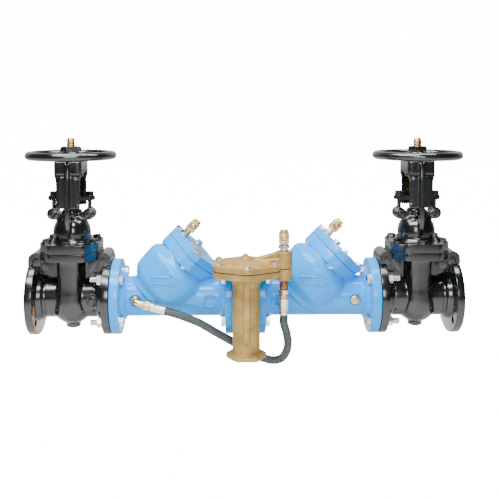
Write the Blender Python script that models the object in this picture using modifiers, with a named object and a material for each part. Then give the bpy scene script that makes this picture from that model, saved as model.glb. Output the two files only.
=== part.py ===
"""Flanged 3 inch reduced-pressure backflow preventer with two outside-screw gate valves.

Metres, +Z up. The origin is on the pipe axis at the inlet flange face, +X runs with the flow,
and the relief valve stands on the -Y side. Both gates and both checks are shut, as at rest.
"""

import math

import bmesh
import bpy
from mathutils import Matrix, Vector

MM = 0.001

# Fits
FACE_GAP = 0.3 * MM  # between two faces that meet
RUN_GAP = 0.4 * MM  # all round a piece that slides or turns in another
OVERLAP = 2.0 * MM  # how far joined shapes reach into each other

# Pipe flanges, shared by every joint
BORE = 76.2 * MM
FLANGE_OD = 190.5 * MM
BOLT_CIRCLE = 152.4 * MM
BOLT_DIA = 15.9 * MM
BOLT_HOLE = 19.0 * MM
BOLT_HEX = 23.8 * MM  # across flats
BOLT_HEAD = 10.5 * MM
BOLT_NUT = 13.5 * MM
BOLT_END = 17.0 * MM  # thread past the nut
GASKET = 1.0 * MM
JOINT = GASKET + 2 * FACE_GAP
FLANGE_SIDES = 20
PIPE_SIDES = 12
ROD_SIDES = 8
HOLE_SIDES = 6
STUD_SIDES = 6
BODY_SIDES = 16

# Gate valves
GATE_LENGTH = 203.2 * MM
GATE_FLANGE = 19.0 * MM
PORT_OD = 103.0 * MM
BELL_OD = 118.0 * MM
BELL_LENGTH = 15.0 * MM
NECK_X = 48.0 * MM
NECK_Y = 112.0 * MM
NECK_TOP = 101.8 * MM
BULB = (43.0 * MM, 58.0 * MM, 64.0 * MM)
DRAIN_OD = 37.0 * MM
DRAIN_END = 77.0 * MM
BONNET_HALF_X = 73.0 * MM
BONNET_HALF_Y = 85.0 * MM
BONNET_FLAT_X = 42.0 * MM
BONNET_FLAT_Y = 42.0 * MM
BODY_TOP_FLANGE = 18.9 * MM
BONNET_FLANGE = 21.0 * MM
BONNET_BOLT = 12.0 * MM
BONNET_HEX = 19.0 * MM
BONNET_HEAD = 8.0 * MM
BONNET_BOLTS = ((0, 73), (0, -73), (56, 38), (56, -38), (-56, 38), (-56, -38))  # mm in X and Y
EAR_WIDTH = 86.0 * MM
EAR_TOP = 118.0 * MM
WEDGE_OD = 84.0 * MM
WEDGE_WIDTH = 24.0 * MM
WEDGE_HEAD_TOP = 64.0 * MM
WEDGE_HEAD_Y = 46.0 * MM
SEAT_OD = 90.0 * MM
CAVITY_X = 36.0 * MM
CAVITY_Y = 92.0 * MM
DOME_DIA = 92.0 * MM
DOME_TOP = 196.0 * MM
DOME_WALL = 9.0 * MM
LUG_X = 45.0 * MM
LUG_Z = 212.0 * MM
LUG_R = 15.0 * MM
LUG_WIDTH = 34.0 * MM
EYE_WIDTH = 12.0 * MM
BOX_OD = 48.0 * MM
BOX_TOP = 222.0 * MM
PACKING_OD = 35.0 * MM
PACKING_DEPTH = 22.0 * MM
GLAND_Z = 246.0 * MM
GLAND_PLATE = (117.0 * MM, 48.0 * MM, 10.0 * MM)
EYE_BOLT = 11.0 * MM
EYE_BOLT_TOP = 268.0 * MM
GLAND_NUT = 11.0 * MM
ARM_Y = 45.0 * MM
ARM_X = 58.0 * MM
ARM_WALL = 9.0 * MM
ARM_BASE = 229.0 * MM
RIB_X = 11.0 * MM
RIB_OUT = 63.0 * MM
HUB_BASE = 311.0 * MM
HUB_TOP = 345.0 * MM
HUB_X = 68.0 * MM
STEM_DIA = 21.0 * MM
STEM_TOP = 402.0 * MM
STEM_COLLAR = 30.0 * MM
SLEEVE_OD = 32.0 * MM
SLEEVE_COLLAR = 48.0 * MM
WHEEL_RIM_R = 102.7 * MM
WHEEL_RIM = 10.2 * MM
WHEEL_Z = 358.4 * MM
WHEEL_HUB_OD = 54.0 * MM
WHEEL_HUB_TOP = 367.0 * MM
WHEEL_SPOKE = 7.5 * MM
SPOKES = 5
WHEEL_NUT_HEX = 46.0 * MM
WHEEL_NUT_TOP = 380.7 * MM
PLUG_X = 57.0 * MM
PLUG_Z = 1.0 * MM

# Check valves, whose chamber leans downstream
CHECK_LENGTH = 304.8 * MM
CHECK_FLANGE = 21.5 * MM
CHECK_HUB_OD = 124.0 * MM
CHECK_HUB = 8.0 * MM
CHECK_PIPE_OD = 100.0 * MM
LEAN = math.radians(45.0)
CHAMBER_X = 91.0 * MM  # inlet face to where the two axes cross
CHAMBER_TOP = 126.0 * MM
CHAMBER_OD = 172.0 * MM
CHAMBER_NECK_OD = 126.0 * MM
CHAMBER_BORE = 92.0 * MM
BAND_OD = 124.0 * MM
PLATE_SIDE = 130.0 * MM
PLATE_CORNER = 77.0 * MM
PLATE_BODY = 26.0 * MM
PLATE_COVER = 20.0 * MM
COVER_BOLT_R = 67.0 * MM
COVER_BOLT = 12.0 * MM
COVER_HEX = 19.0 * MM
COVER_HEAD = 8.0 * MM
COVER_THREAD = 18.0 * MM
GUIDE_OD = 26.0 * MM
GUIDE_LENGTH = 34.0 * MM
SEAT_BASE = 4.0 * MM  # where the wall that carries the seat starts, along the chamber's axis
SEAT_WALL = 12.0 * MM
SEAT_BORE = 56.0 * MM
SEAT_RING_OD = 68.0 * MM
SEAT_LIP_OD = 80.0 * MM
SEAT_LIP = 3.0 * MM
DISC_OD = 78.0 * MM
DISC_WIDTH = 7.0 * MM
DISC_STEM = 12.0 * MM
DISC_STEM_TOP = 138.0 * MM
SPRING_R = 18.0 * MM
SPRING_WIRE = 2.0 * MM
SPRING_TURNS = 4
BOSS_OD = 35.0 * MM
BOSS_FROM_FACE = 60.0 * MM
BOSS_Y = 56.0 * MM
TAP_DIA = 17.0 * MM

# Test cocks
COCK_NECK = 13.0 * MM
COCK_NECK_LENGTH = 18.0 * MM
COCK_BODY = (22.0 * MM, 22.0 * MM, 32.0 * MM)
COCK_STEM = 13.0 * MM
COCK_SLOT = 3.0 * MM
COCK_ON_COVER = 48.0 * MM

# Centre spool and the relief valve that stands in front of it
SPOOL_LENGTH = 54.0 * MM
SPOOL_OD = 124.0 * MM
SPOOL_PORT = (52.0 * MM, 76.0 * MM)
SPOOL_PORT_Y = 84.0 * MM
RELIEF_Y = 127.0 * MM
RELIEF_OD = 65.6 * MM
RELIEF_BORE = 54.0 * MM
RELIEF_PORT = 36.0 * MM
RELIEF_BOTTOM = 121.0 * MM
LIP = 13.0 * MM
LIP_R = 50.0 * MM
HOUSING_R = 92.0 * MM
HOUSING_BASE = 81.0 * MM
HOUSING_SPLIT = 95.0 * MM
DIAPHRAGM = 1.7 * MM
COVER_RIM = 12.0 * MM
COVER_TOP = 125.0 * MM
CHAMBER_R = 52.0 * MM
HOUSING_BOLT_R = 76.0 * MM
HOUSING_BOLT = 8.0 * MM
HOUSING_HEX = 13.0 * MM
HOUSING_HEAD = 5.5 * MM
RIDGE_BOSS_X = 90.0 * MM
RIDGE_BOSS_OD = 40.0 * MM
RIDGE_BOSS_BASE = 67.0 * MM
RIDGE_BOSS_TOP = 137.0 * MM
RELIEF_RIB = 17.0 * MM
RELIEF_RIB_OUT = 6.0 * MM
RELIEF_SEAT_Z = -32.0 * MM
RELIEF_SEAT = 8.0 * MM
RELIEF_SEAT_BORE = 28.0 * MM
RELIEF_DISC = 40.0 * MM
RELIEF_STEM = 10.0 * MM
PISTON_OD = 50.0 * MM

# Sensing hose and its fittings
HOSE_DIA = 20.0 * MM
FERRULE_OD = 24.0 * MM
FERRULE_LENGTH = 40.0 * MM
ELBOW_DIA = 18.0 * MM
ELBOW_Y = 75.0 * MM
ELBOW_RUN = 25.0 * MM
ELBOW_DROP = math.radians(16.5)
UNION_HEX = 24.0 * MM
UNION_LENGTH = 15.0 * MM
NIPPLE_LENGTH = 22.0 * MM
# The hose between its two ferrules, chosen by hand: X from the centre of the object, Y, Z
HOSE_ROUTE = ((-150, -74.5, -36), (-113, -73, -52), (-72, -70, -77), (-32, -66, -101), (4, -62, -123),
              (38, -63, -141), (66, -71, -146.5), (88, -84, -137), (100, -99, -112), (101, -111, -81))

# Where each unit starts along the pipe
GATE_1_X = GATE_LENGTH / 2
CHECK_1_X = GATE_LENGTH + JOINT
SPOOL_X = CHECK_1_X + CHECK_LENGTH + JOINT
CENTRE_X = SPOOL_X + SPOOL_LENGTH / 2
CHECK_2_X = SPOOL_X + SPOOL_LENGTH + JOINT
GATE_2_START = CHECK_2_X + CHECK_LENGTH + JOINT
GATE_2_X = GATE_2_START + GATE_LENGTH / 2

for old in list(bpy.data.objects):
    bpy.data.objects.remove(old, do_unlink=True)

PARTS = bpy.data.collections.new("backflow_preventer")
CUTTERS = bpy.data.collections.new("cutters")
for group in (PARTS, CUTTERS):
    bpy.context.scene.collection.children.link(group)


# Materials -------------------------------------------------------------------------------------

def finish(name, colour, roughness, metallic):
    """A Principled material with a linear colour."""
    made = bpy.data.materials.new(name)
    made.use_nodes = True
    shader = made.node_tree.nodes["Principled BSDF"]
    shader.inputs["Base Color"].default_value = (*colour, 1.0)
    shader.inputs["Roughness"].default_value = roughness
    shader.inputs["Metallic"].default_value = metallic
    made.diffuse_color = (*colour, 1.0)
    return made


BLACK_PAINT = finish("black_paint", (0.012, 0.013, 0.014), 0.25, 0.0)
BLUE_EPOXY = finish("blue_epoxy", (0.09, 0.42, 0.80), 0.22, 0.0)
CAST_BRONZE = finish("cast_bronze", (0.53, 0.40, 0.24), 0.55, 0.6)
BRASS = finish("brass", (0.72, 0.56, 0.28), 0.30, 0.9)
STEM_BRONZE = finish("stem_bronze", (0.60, 0.42, 0.18), 0.32, 0.9)
ZINC = finish("zinc_plate", (0.78, 0.79, 0.80), 0.30, 0.9)
STAINLESS = finish("stainless_steel", (0.55, 0.56, 0.57), 0.28, 1.0)
GRAPHITE = finish("graphite_packing", (0.04, 0.04, 0.045), 0.7, 0.0)
GASKET_SHEET = finish("gasket_sheet", (0.10, 0.10, 0.10), 0.8, 0.0)
HOSE_RUBBER = finish("hose_rubber", (0.09, 0.11, 0.115), 0.6, 0.0)
COPPER = finish("copper_alloy", (0.52, 0.26, 0.17), 0.35, 0.8)


# Building blocks -------------------------------------------------------------------------------

def datum(name, place, turn=(0.0, 0.0, 0.0)):
    """An empty that carries the pieces of one unit."""
    empty = bpy.data.objects.new(name, None)
    empty.location = place
    empty.rotation_euler = turn
    PARTS.objects.link(empty)
    return empty


def add(mesh, name, unit, colour, place=(0.0, 0.0, 0.0), turn=(0.0, 0.0, 0.0)):
    """Puts a mesh in the scene: as a piece where it has a material, as a cutter where it hasn't."""
    made = bpy.data.objects.new(name, mesh)
    made.parent = unit
    made.location = place
    made.rotation_euler = turn
    if colour is None:
        CUTTERS.objects.link(made)
        made.hide_render = True
        made.display_type = "WIRE"
    else:
        PARTS.objects.link(made)
        mesh.materials.append(colour)
    return made


def from_bmesh(shape, name):
    mesh = bpy.data.meshes.new(name)
    shape.to_mesh(mesh)
    shape.free()
    return mesh


AXES = {"X": Matrix.Rotation(math.pi / 2, 4, "Y"), "Y": Matrix.Rotation(-math.pi / 2, 4, "X"),
        "Z": Matrix.Identity(4)}


def cylinder(name, unit, colour, radius, low, high, axis="Z", centre=(0.0, 0.0, 0.0), sides=PIPE_SIDES,
             end_radius=None):
    """A cylinder or cone along an axis, from low to high, whose axis passes through centre."""
    shape = bmesh.new()
    bmesh.ops.create_cone(shape, cap_ends=True, segments=sides, radius1=radius,
                          radius2=radius if end_radius is None else end_radius, depth=high - low)
    lift = Matrix.Translation((0.0, 0.0, (low + high) / 2))
    bmesh.ops.transform(shape, matrix=Matrix.Translation(centre) @ AXES[axis] @ lift, verts=shape.verts)
    return add(from_bmesh(shape, name), name, unit, colour)


def hexagon(name, unit, colour, flats, low, high, axis="Z", centre=(0.0, 0.0, 0.0)):
    """A hexagonal prism, given across its flats."""
    return cylinder(name, unit, colour, flats / math.sqrt(3.0), low, high, axis, centre, 6)


def block(name, unit, colour, low, high, edge=0.0, upright=False):
    """A box between two corners, with its edges, or only its upright ones, bevelled by edge."""
    low = Vector(low)
    high = Vector(high)
    shape = bmesh.new()
    bmesh.ops.create_cube(shape, size=1.0)
    size = Matrix.Diagonal((*(high - low), 1.0))
    bmesh.ops.transform(shape, matrix=Matrix.Translation((low + high) / 2) @ size, verts=shape.verts)
    if edge:
        picked = [e for e in shape.edges
                  if not upright or abs(e.verts[0].co.z - e.verts[1].co.z) > edge]
        bmesh.ops.bevel(shape, geom=picked, offset=edge, segments=1, profile=0.5, affect="EDGES")
    return add(from_bmesh(shape, name), name, unit, colour)


def ellipsoid(name, unit, colour, radii, centre=(0.0, 0.0, 0.0), rings=6):
    shape = bmesh.new()
    bmesh.ops.create_uvsphere(shape, u_segments=2 * rings, v_segments=rings, radius=1.0)
    size = Matrix.Diagonal((*radii, 1.0))
    bmesh.ops.transform(shape, matrix=Matrix.Translation(centre) @ size, verts=shape.verts)
    return add(from_bmesh(shape, name), name, unit, colour)


def turned(name, unit, colour, profile, sides=PIPE_SIDES, axis="Z", closed=False):
    """A turned shape: profile points are (radius, height), down the outer side."""
    mesh = bpy.data.meshes.new(name)
    points = [(radius, 0.0, height) for radius, height in profile]
    edges = [(i, i + 1) for i in range(len(points) - 1)]
    if closed:
        edges.append((len(points) - 1, 0))
    mesh.from_pydata(points, edges, [])
    made = add(mesh, name, unit, colour, turn=AXES[axis].to_euler())
    screw = made.modifiers.new("turn", "SCREW")
    screw.angle = 2 * math.pi
    screw.steps = sides
    screw.render_steps = sides
    screw.use_merge_vertices = True
    screw.merge_threshold = 0.00001
    return made


def plate(name, unit, colour, outline, low, high, normal="Z"):
    """A flat outline given thickness from low to high along its normal.

    The outline's two numbers are X and Y for a Z normal, X and Z for Y, and Y and Z for X.
    """
    curve = bpy.data.curves.new(name, "CURVE")
    curve.dimensions = "2D"
    curve.fill_mode = "BOTH"
    curve.extrude = (high - low) / 2
    spline = curve.splines.new("POLY")
    spline.points.add(len(outline) - 1)
    for point, (a, b) in zip(spline.points, outline):
        point.co = (a, b, 0.0, 1.0)
    spline.use_cyclic_u = True
    flat = bpy.data.objects.new(name + "_outline", curve)
    CUTTERS.objects.link(flat)
    mesh = welded(flat)
    mesh.transform(Matrix.Translation((0.0, 0.0, (low + high) / 2)))
    if normal == "Y":
        mesh.transform(Matrix(((1, 0, 0, 0), (0, 0, 1, 0), (0, 1, 0, 0), (0, 0, 0, 1))))
        mesh.flip_normals()
    if normal == "X":
        mesh.transform(Matrix(((0, 0, 1, 0), (1, 0, 0, 0), (0, 1, 0, 0), (0, 0, 0, 1))))
    return add(mesh, name, unit, colour)


def welded(curve_object):
    """The mesh of a curve, with its caps welded on; the curve object goes."""
    view = bpy.context.evaluated_depsgraph_get()
    mesh = bpy.data.meshes.new_from_object(curve_object.evaluated_get(view))
    mesh.materials.clear()
    shape = bmesh.new()
    shape.from_mesh(mesh)
    bmesh.ops.remove_doubles(shape, verts=shape.verts, dist=0.000001)
    bmesh.ops.recalc_face_normals(shape, faces=shape.faces)
    shape.to_mesh(mesh)
    shape.free()
    bpy.data.objects.remove(curve_object, do_unlink=True)
    return mesh


def tube(name, unit, colour, points, radius, roundness=2):
    """A round tube along points, with flat ends."""
    curve = bpy.data.curves.new(name, "CURVE")
    curve.dimensions = "3D"
    curve.bevel_depth = radius
    curve.bevel_resolution = roundness
    curve.use_fill_caps = True
    spline = curve.splines.new("POLY")
    spline.points.add(len(points) - 1)
    for point, place in zip(spline.points, points):
        point.co = (*place, 1.0)
    line = bpy.data.objects.new(name + "_line", curve)
    CUTTERS.objects.link(line)
    return add(welded(line), name, unit, colour)


def change(piece, operation, others):
    for other in others:
        step = piece.modifiers.new(operation.lower() + "_" + other.name, "BOOLEAN")
        step.operation = operation
        step.object = other
        step.solver = "EXACT"


def cut(piece, *others):
    change(piece, "DIFFERENCE", others)


def join(piece, *others):
    change(piece, "UNION", others)


def ring_points(count, radius, start=0.0):
    """Points evenly round a circle in the plane of the first two numbers."""
    return [(radius * math.cos(start + 2 * math.pi * i / count),
             radius * math.sin(start + 2 * math.pi * i / count)) for i in range(count)]


def octagon(half_a, half_b, flat_a, flat_b):
    """An eight-sided outline: two pairs of flats with chamfered corners between them."""
    return [(half_a, -flat_b), (half_a, flat_b), (flat_a, half_b), (-flat_a, half_b),
            (-half_a, flat_b), (-half_a, -flat_b), (-flat_a, -half_b), (flat_a, -half_b)]


def coil(name, unit, colour, radius, wire, low, high, turns):
    """A helical spring along Z, between two heights, with its wire inside them."""
    per_turn = 8
    count = turns * per_turn
    rise = high - low - 2 * wire
    points = []
    for i in range(count + 1):
        angle = 2 * math.pi * i / per_turn
        points.append((radius * math.cos(angle), radius * math.sin(angle), low + wire + rise * i / count))
    return tube(name, unit, colour, points, wire, 1)


def turning_hole(radius, sides=ROD_SIDES):
    """The radius of a faceted hole in which a faceted shaft of this radius turns without touching."""
    return (radius + RUN_GAP) / math.cos(math.pi / sides)


FLANGE_BOLT_PLACES = ring_points(4, BOLT_CIRCLE / 2, math.pi / 4)


def flange_holes(name, unit, low, high):
    """Cutters for the four bolt holes of a pipe flange, along X."""
    return [cylinder(f"{name}_{i}", unit, None, BOLT_HOLE / 2, low - OVERLAP, high + OVERLAP, "X",
                     (0.0, y, z), HOLE_SIDES) for i, (y, z) in enumerate(FLANGE_BOLT_PLACES)]


# Gate valve ------------------------------------------------------------------------------------

def gate_body(unit, name, plugged):
    half = GATE_LENGTH / 2
    face = half - GATE_FLANGE
    bell = face - BELL_LENGTH
    edge = FLANGE_OD / 2
    port = PORT_OD / 2
    body = turned(name, unit, BLACK_PAINT, [
        (0, half), (edge, half), (edge, face), (BELL_OD / 2, face), (port, bell), (port, -bell),
        (BELL_OD / 2, -face), (edge, -face), (edge, -half), (0, -half)], FLANGE_SIDES, "X")
    flange_base = NECK_TOP
    flange_top = NECK_TOP + BODY_TOP_FLANGE
    neck = block(name + "_neck", unit, None, (-NECK_X / 2, -NECK_Y / 2, -30 * MM),
                 (NECK_X / 2, NECK_Y / 2, flange_base + OVERLAP), 16 * MM, True)
    bulb = ellipsoid(name + "_bulb", unit, None, BULB)
    drain = cylinder(name + "_drain", unit, None, DRAIN_OD / 2, -DRAIN_END, -40 * MM, sides=ROD_SIDES)
    top = plate(name + "_top", unit, None,
                octagon(BONNET_HALF_X, BONNET_HALF_Y, BONNET_FLAT_X, BONNET_FLAT_Y), flange_base,
                flange_top)
    shapes = [neck, bulb, drain, top]
    for side, mark in ((1, "down"), (-1, "up")):
        reach_in = BONNET_HALF_X - 6 * MM
        outer = half - 1.5 * MM
        shoulder = [(reach_in, EAR_TOP), (half - 16 * MM, EAR_TOP - 1 * MM),
                    (half - 5 * MM, EAR_TOP - 8 * MM),
                    (outer, EAR_TOP - 20 * MM), (outer, 84 * MM), (face + 4 * MM, 84 * MM),
                    (62 * MM, 74 * MM),
                    (46 * MM, 74 * MM), (30 * MM, 92 * MM), (30 * MM, flange_base + OVERLAP)]
        shapes.append(plate(f"{name}_shoulder_{mark}", unit, None, [(side * x, z) for x, z in shoulder],
                            -EAR_WIDTH / 2, EAR_WIDTH / 2, "Y"))
    if plugged:
        shapes.append(cylinder(name + "_plug_boss", unit, None, 14 * MM, -PORT_OD / 2 - 3 * MM,
                               -PORT_OD / 2 + 8 * MM, "Y", (PLUG_X, 0, PLUG_Z), ROD_SIDES))
    join(body, *shapes)
    cavity = block(name + "_cavity", unit, None, (-CAVITY_X / 2, -CAVITY_Y / 2, -CAVITY_Y / 2 - 2 * MM),
                   (CAVITY_X / 2, CAVITY_Y / 2, flange_top + OVERLAP), 5 * MM, True)
    cut(body, cavity)
    seat_face = WEDGE_WIDTH / 2 + RUN_GAP
    join(body, *[cylinder(f"{name}_seat_{mark}", unit, None, SEAT_OD / 2, low, high, "X")
                 for mark, low, high in (("down", seat_face, CAVITY_X / 2 + 3 * MM),
                                         ("up", -CAVITY_X / 2 - 3 * MM, -seat_face))])
    cut(body, cylinder(name + "_bore", unit, None, BORE / 2, -half - OVERLAP, half + OVERLAP, "X"),
        *flange_holes(name + "_hole_up", unit, -half, -face),
        *flange_holes(name + "_hole_down", unit, face, half))
    for i, (x, y) in enumerate(BONNET_BOLTS):
        cut(body, cylinder(f"{name}_stud_{i}", unit, None, BONNET_BOLT / 2 + RUN_GAP,
                           flange_top - 14 * MM, flange_top + OVERLAP, centre=(x * MM, y * MM, 0),
                           sides=STUD_SIDES))
    if plugged:
        cut(body, cylinder(name + "_plug_tap", unit, None, TAP_DIA / 2, -PORT_OD / 2 - 5 * MM,
                           -BORE / 2 + 4 * MM, "Y", (PLUG_X, 0, PLUG_Z), HOLE_SIDES))
    return body


def bonnet(unit, name):
    """Flange, dome, stuffing box, lugs and the two yoke arms are one casting."""
    base = NECK_TOP + BODY_TOP_FLANGE + JOINT
    top = base + BONNET_FLANGE
    piece = plate(name, unit, BLACK_PAINT,
                  octagon(BONNET_HALF_X, BONNET_HALF_Y, BONNET_FLAT_X, BONNET_FLAT_Y), base, top)
    dome_r = DOME_DIA / 2
    box_r = BOX_OD / 2
    dome = turned(name + "_dome", unit, None, [
        (0, BOX_TOP), (box_r, BOX_TOP), (box_r, DOME_TOP + 2 * MM), (dome_r * 0.80, DOME_TOP),
        (dome_r * 0.90, DOME_TOP - 16 * MM), (dome_r, DOME_TOP - 36 * MM), (dome_r, top + 6 * MM),
        (dome_r + 5 * MM, top - OVERLAP), (0, top - OVERLAP)])
    bar = block(name + "_bar", unit, None, (-LUG_X, -LUG_WIDTH / 2, DOME_TOP - OVERLAP),
                (LUG_X, LUG_WIDTH / 2, LUG_Z + 3 * MM))
    shapes = [dome, bar]
    for side in (-1, 1):
        shapes.append(cylinder(f"{name}_lug_{side}", unit, None, LUG_R, -LUG_WIDTH / 2, LUG_WIDTH / 2, "Y",
                               (side * LUG_X, 0, LUG_Z), ROD_SIDES))
    inner = ARM_Y - ARM_WALL / 2
    hub_half_y = RIB_OUT - 12 * MM
    shapes.append(block(name + "_hub", unit, None, (-HUB_X / 2, -hub_half_y, HUB_BASE),
                        (HUB_X / 2, hub_half_y, HUB_TOP), 9 * MM, True))
    rib = [(30 * MM, top + 16 * MM), (dome_r - 2 * MM, top + 14 * MM), (RIB_OUT - 9 * MM, top + 30 * MM),
           (RIB_OUT, top + 56 * MM), (RIB_OUT, HUB_BASE - 10 * MM), (RIB_OUT - 8 * MM, HUB_TOP - 1 * MM),
           (inner, HUB_TOP - 1 * MM), (inner, DOME_TOP + 10 * MM), (30 * MM, DOME_TOP - 10 * MM)]
    for side, mark in ((-1, "front"), (1, "back")):
        low, high = sorted((side * inner, side * (inner + ARM_WALL)))
        shapes.append(block(f"{name}_arm_{mark}", unit, None, (-ARM_X / 2, low, ARM_BASE),
                            (ARM_X / 2, high, HUB_BASE + OVERLAP)))
        shapes.append(plate(f"{name}_rib_{mark}", unit, None, [(side * y, z) for y, z in rib],
                            -RIB_X / 2, RIB_X / 2, "X"))
    join(piece, *shapes)
    stem_hole = STEM_DIA / 2 + RUN_GAP
    packing_base = BOX_TOP - PACKING_DEPTH - 8 * MM
    cut(piece,
        turned(name + "_inside", unit, None, [
            (0, packing_base - DOME_WALL), (dome_r - DOME_WALL - 8 * MM, packing_base - DOME_WALL),
            (dome_r - DOME_WALL, DOME_TOP - 40 * MM), (dome_r - DOME_WALL, base - OVERLAP),
            (0, base - OVERLAP)]),
        cylinder(name + "_box", unit, None, PACKING_OD / 2 + RUN_GAP, packing_base, BOX_TOP + OVERLAP,
                 sides=ROD_SIDES),
        cylinder(name + "_stem_hole", unit, None, stem_hole, base, BOX_TOP, sides=ROD_SIDES),
        cylinder(name + "_sleeve_hole", unit, None, turning_hole(SLEEVE_OD / 2), HUB_BASE - OVERLAP,
                 HUB_TOP + OVERLAP, sides=ROD_SIDES))
    for side in (-1, 1):
        low, high = sorted((side * (LUG_X - LUG_R + 3 * MM), side * (LUG_X + LUG_R + OVERLAP)))
        cut(piece, block(f"{name}_slot_{side}", unit, None,
                         (low, -EYE_WIDTH / 2 - RUN_GAP, LUG_Z - LUG_R - OVERLAP),
                         (high, EYE_WIDTH / 2 + RUN_GAP, LUG_Z + LUG_R + OVERLAP)),
            cylinder(f"{name}_pin_hole_{side}", unit, None, EYE_BOLT / 2 - 0.6 * MM, -LUG_WIDTH,
                     LUG_WIDTH, "Y",
                     (side * LUG_X, 0, LUG_Z), STUD_SIDES))
    for i, (x, y) in enumerate(BONNET_BOLTS):
        cut(piece, cylinder(f"{name}_hole_{i}", unit, None, BONNET_BOLT / 2 + RUN_GAP, base - OVERLAP,
                            top + OVERLAP, centre=(x * MM, y * MM, 0), sides=STUD_SIDES))
    return piece


def bonnet_gasket(unit, name):
    """The sheet under the bonnet with its six bolts."""
    low = NECK_TOP + BODY_TOP_FLANGE + FACE_GAP
    top = low + GASKET + FACE_GAP + BONNET_FLANGE
    shrink = 1 * MM
    piece = plate(name, unit, ZINC, octagon(BONNET_HALF_X - shrink, BONNET_HALF_Y - shrink,
                                            BONNET_FLAT_X, BONNET_FLAT_Y), low, low + GASKET)
    cut(piece, cylinder(name + "_opening", unit, None, CAVITY_Y / 2 + 2 * MM, low - OVERLAP,
                        low + GASKET + OVERLAP))
    for i, (x, y) in enumerate(BONNET_BOLTS):
        centre = (x * MM, y * MM, 0)
        join(piece, cylinder(f"{name}_shank_{i}", unit, None, BONNET_BOLT / 2, low - 12 * MM,
                             top + FACE_GAP + OVERLAP, centre=centre, sides=STUD_SIDES),
             hexagon(f"{name}_head_{i}", unit, None, BONNET_HEX, top + FACE_GAP,
                     top + FACE_GAP + BONNET_HEAD, centre=centre))
    return piece


def gate_stem(unit, name):
    radius = STEM_DIA / 2
    slot_top = WEDGE_HEAD_TOP
    return turned(name, unit, STEM_BRONZE, [
        (0, STEM_TOP), (radius - 1.5 * MM, STEM_TOP), (radius, STEM_TOP - 1.5 * MM),
        (radius, slot_top + 1 * MM), (radius - 2 * MM, slot_top), (radius - 2 * MM, slot_top - 8 * MM),
        (STEM_COLLAR / 2, slot_top - 8 * MM), (STEM_COLLAR / 2, slot_top - 14 * MM),
        (0, slot_top - 14 * MM)], ROD_SIDES)


def wedge(unit, name):
    """The gate, with a slot across its top for the collar of the stem."""
    piece = cylinder(name, unit, CAST_BRONZE, WEDGE_OD / 2, -WEDGE_WIDTH / 2, WEDGE_WIDTH / 2, "X")
    slot_top = WEDGE_HEAD_TOP
    head = block(name + "_head", unit, None, (-CAVITY_X / 2 + 1 * MM, -WEDGE_HEAD_Y / 2, 24 * MM),
                 (CAVITY_X / 2 - 1 * MM, WEDGE_HEAD_Y / 2, slot_top - RUN_GAP))
    seat_clear = [block(f"{name}_clear_{side}", unit, None, *sorted_box(
        side * (WEDGE_WIDTH / 2), side * CAVITY_X, SEAT_OD / 2 + RUN_GAP)) for side in (-1, 1)]
    join(piece, head)
    collar = STEM_COLLAR / 2 + RUN_GAP
    neck = STEM_DIA / 2 - 2 * MM + RUN_GAP
    cut(piece, *seat_clear,
        block(name + "_slot", unit, None, (-collar, -30 * MM, slot_top - 14 * MM - RUN_GAP),
              (collar, collar, slot_top - 8 * MM + RUN_GAP)),
        block(name + "_slot_neck", unit, None, (-neck, -30 * MM, slot_top - 9 * MM),
              (neck, neck, slot_top + OVERLAP)))
    return piece


def sorted_box(near_x, far_x, top):
    """Corners of a box on one side of the wedge, below a height."""
    low, high = sorted((near_x, far_x))
    return (low, -60 * MM, -60 * MM), (high, 60 * MM, top)


def yoke_sleeve(unit, name):
    """The threaded bronze sleeve that the handwheel turns and the stem climbs in."""
    inner = turning_hole(STEM_DIA / 2)
    collar_top = HUB_BASE - FACE_GAP
    return turned(name, unit, STEM_BRONZE, [
        (SLEEVE_OD / 2, WHEEL_NUT_TOP), (SLEEVE_OD / 2, collar_top), (SLEEVE_COLLAR / 2, collar_top),
        (SLEEVE_COLLAR / 2, collar_top - 8 * MM), (inner, collar_top - 8 * MM), (inner, WHEEL_NUT_TOP)],
        ROD_SIDES, closed=True)


def handwheel(unit, name):
    piece = turned(name, unit, BLACK_PAINT, [
        (WHEEL_RIM_R + WHEEL_RIM * math.sin(a), WHEEL_RIM * math.cos(a))
        for a in (2 * math.pi * (i + 0.5) / 8 for i in range(8))], 24, closed=True)
    piece.location = (0, 0, WHEEL_Z)
    hub_low = HUB_TOP + FACE_GAP
    join(piece, cylinder(name + "_hub", unit, None, WHEEL_HUB_OD / 2, hub_low, WHEEL_HUB_TOP))
    for i, (x, y) in enumerate(ring_points(SPOKES, 1.0, -math.pi / 2)):
        inner = Vector((x, y, 0)) * (WHEEL_HUB_OD / 2 - 6 * MM) + Vector((0, 0, WHEEL_Z - 2 * MM))
        outer = Vector((x, y, 0)) * (WHEEL_RIM_R - 2 * MM) + Vector((0, 0, WHEEL_Z))
        join(piece, tube(f"{name}_spoke_{i}", unit, None, [inner, outer], WHEEL_SPOKE, 1))
    cut(piece, cylinder(name + "_hole", unit, None, SLEEVE_OD / 2 + RUN_GAP, hub_low - OVERLAP,
                        WHEEL_HUB_TOP + OVERLAP, sides=ROD_SIDES))
    return piece


def wheel_nut(unit, name):
    low = WHEEL_HUB_TOP + FACE_GAP
    piece = hexagon(name, unit, BLACK_PAINT, WHEEL_NUT_HEX, low, WHEEL_NUT_TOP)
    cut(piece, cylinder(name + "_hole", unit, None, SLEEVE_OD / 2 + RUN_GAP, low - OVERLAP,
                        WHEEL_NUT_TOP + OVERLAP, sides=ROD_SIDES))
    return piece


def packing(unit, name):
    low = BOX_TOP - PACKING_DEPTH - 8 * MM + FACE_GAP
    high = low + PACKING_DEPTH - 4 * MM
    outer = PACKING_OD / 2
    inner = STEM_DIA / 2 + RUN_GAP
    return turned(name, unit, GRAPHITE, [(outer, high), (outer, low), (inner, low), (inner, high)],
                  ROD_SIDES, closed=True)


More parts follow.
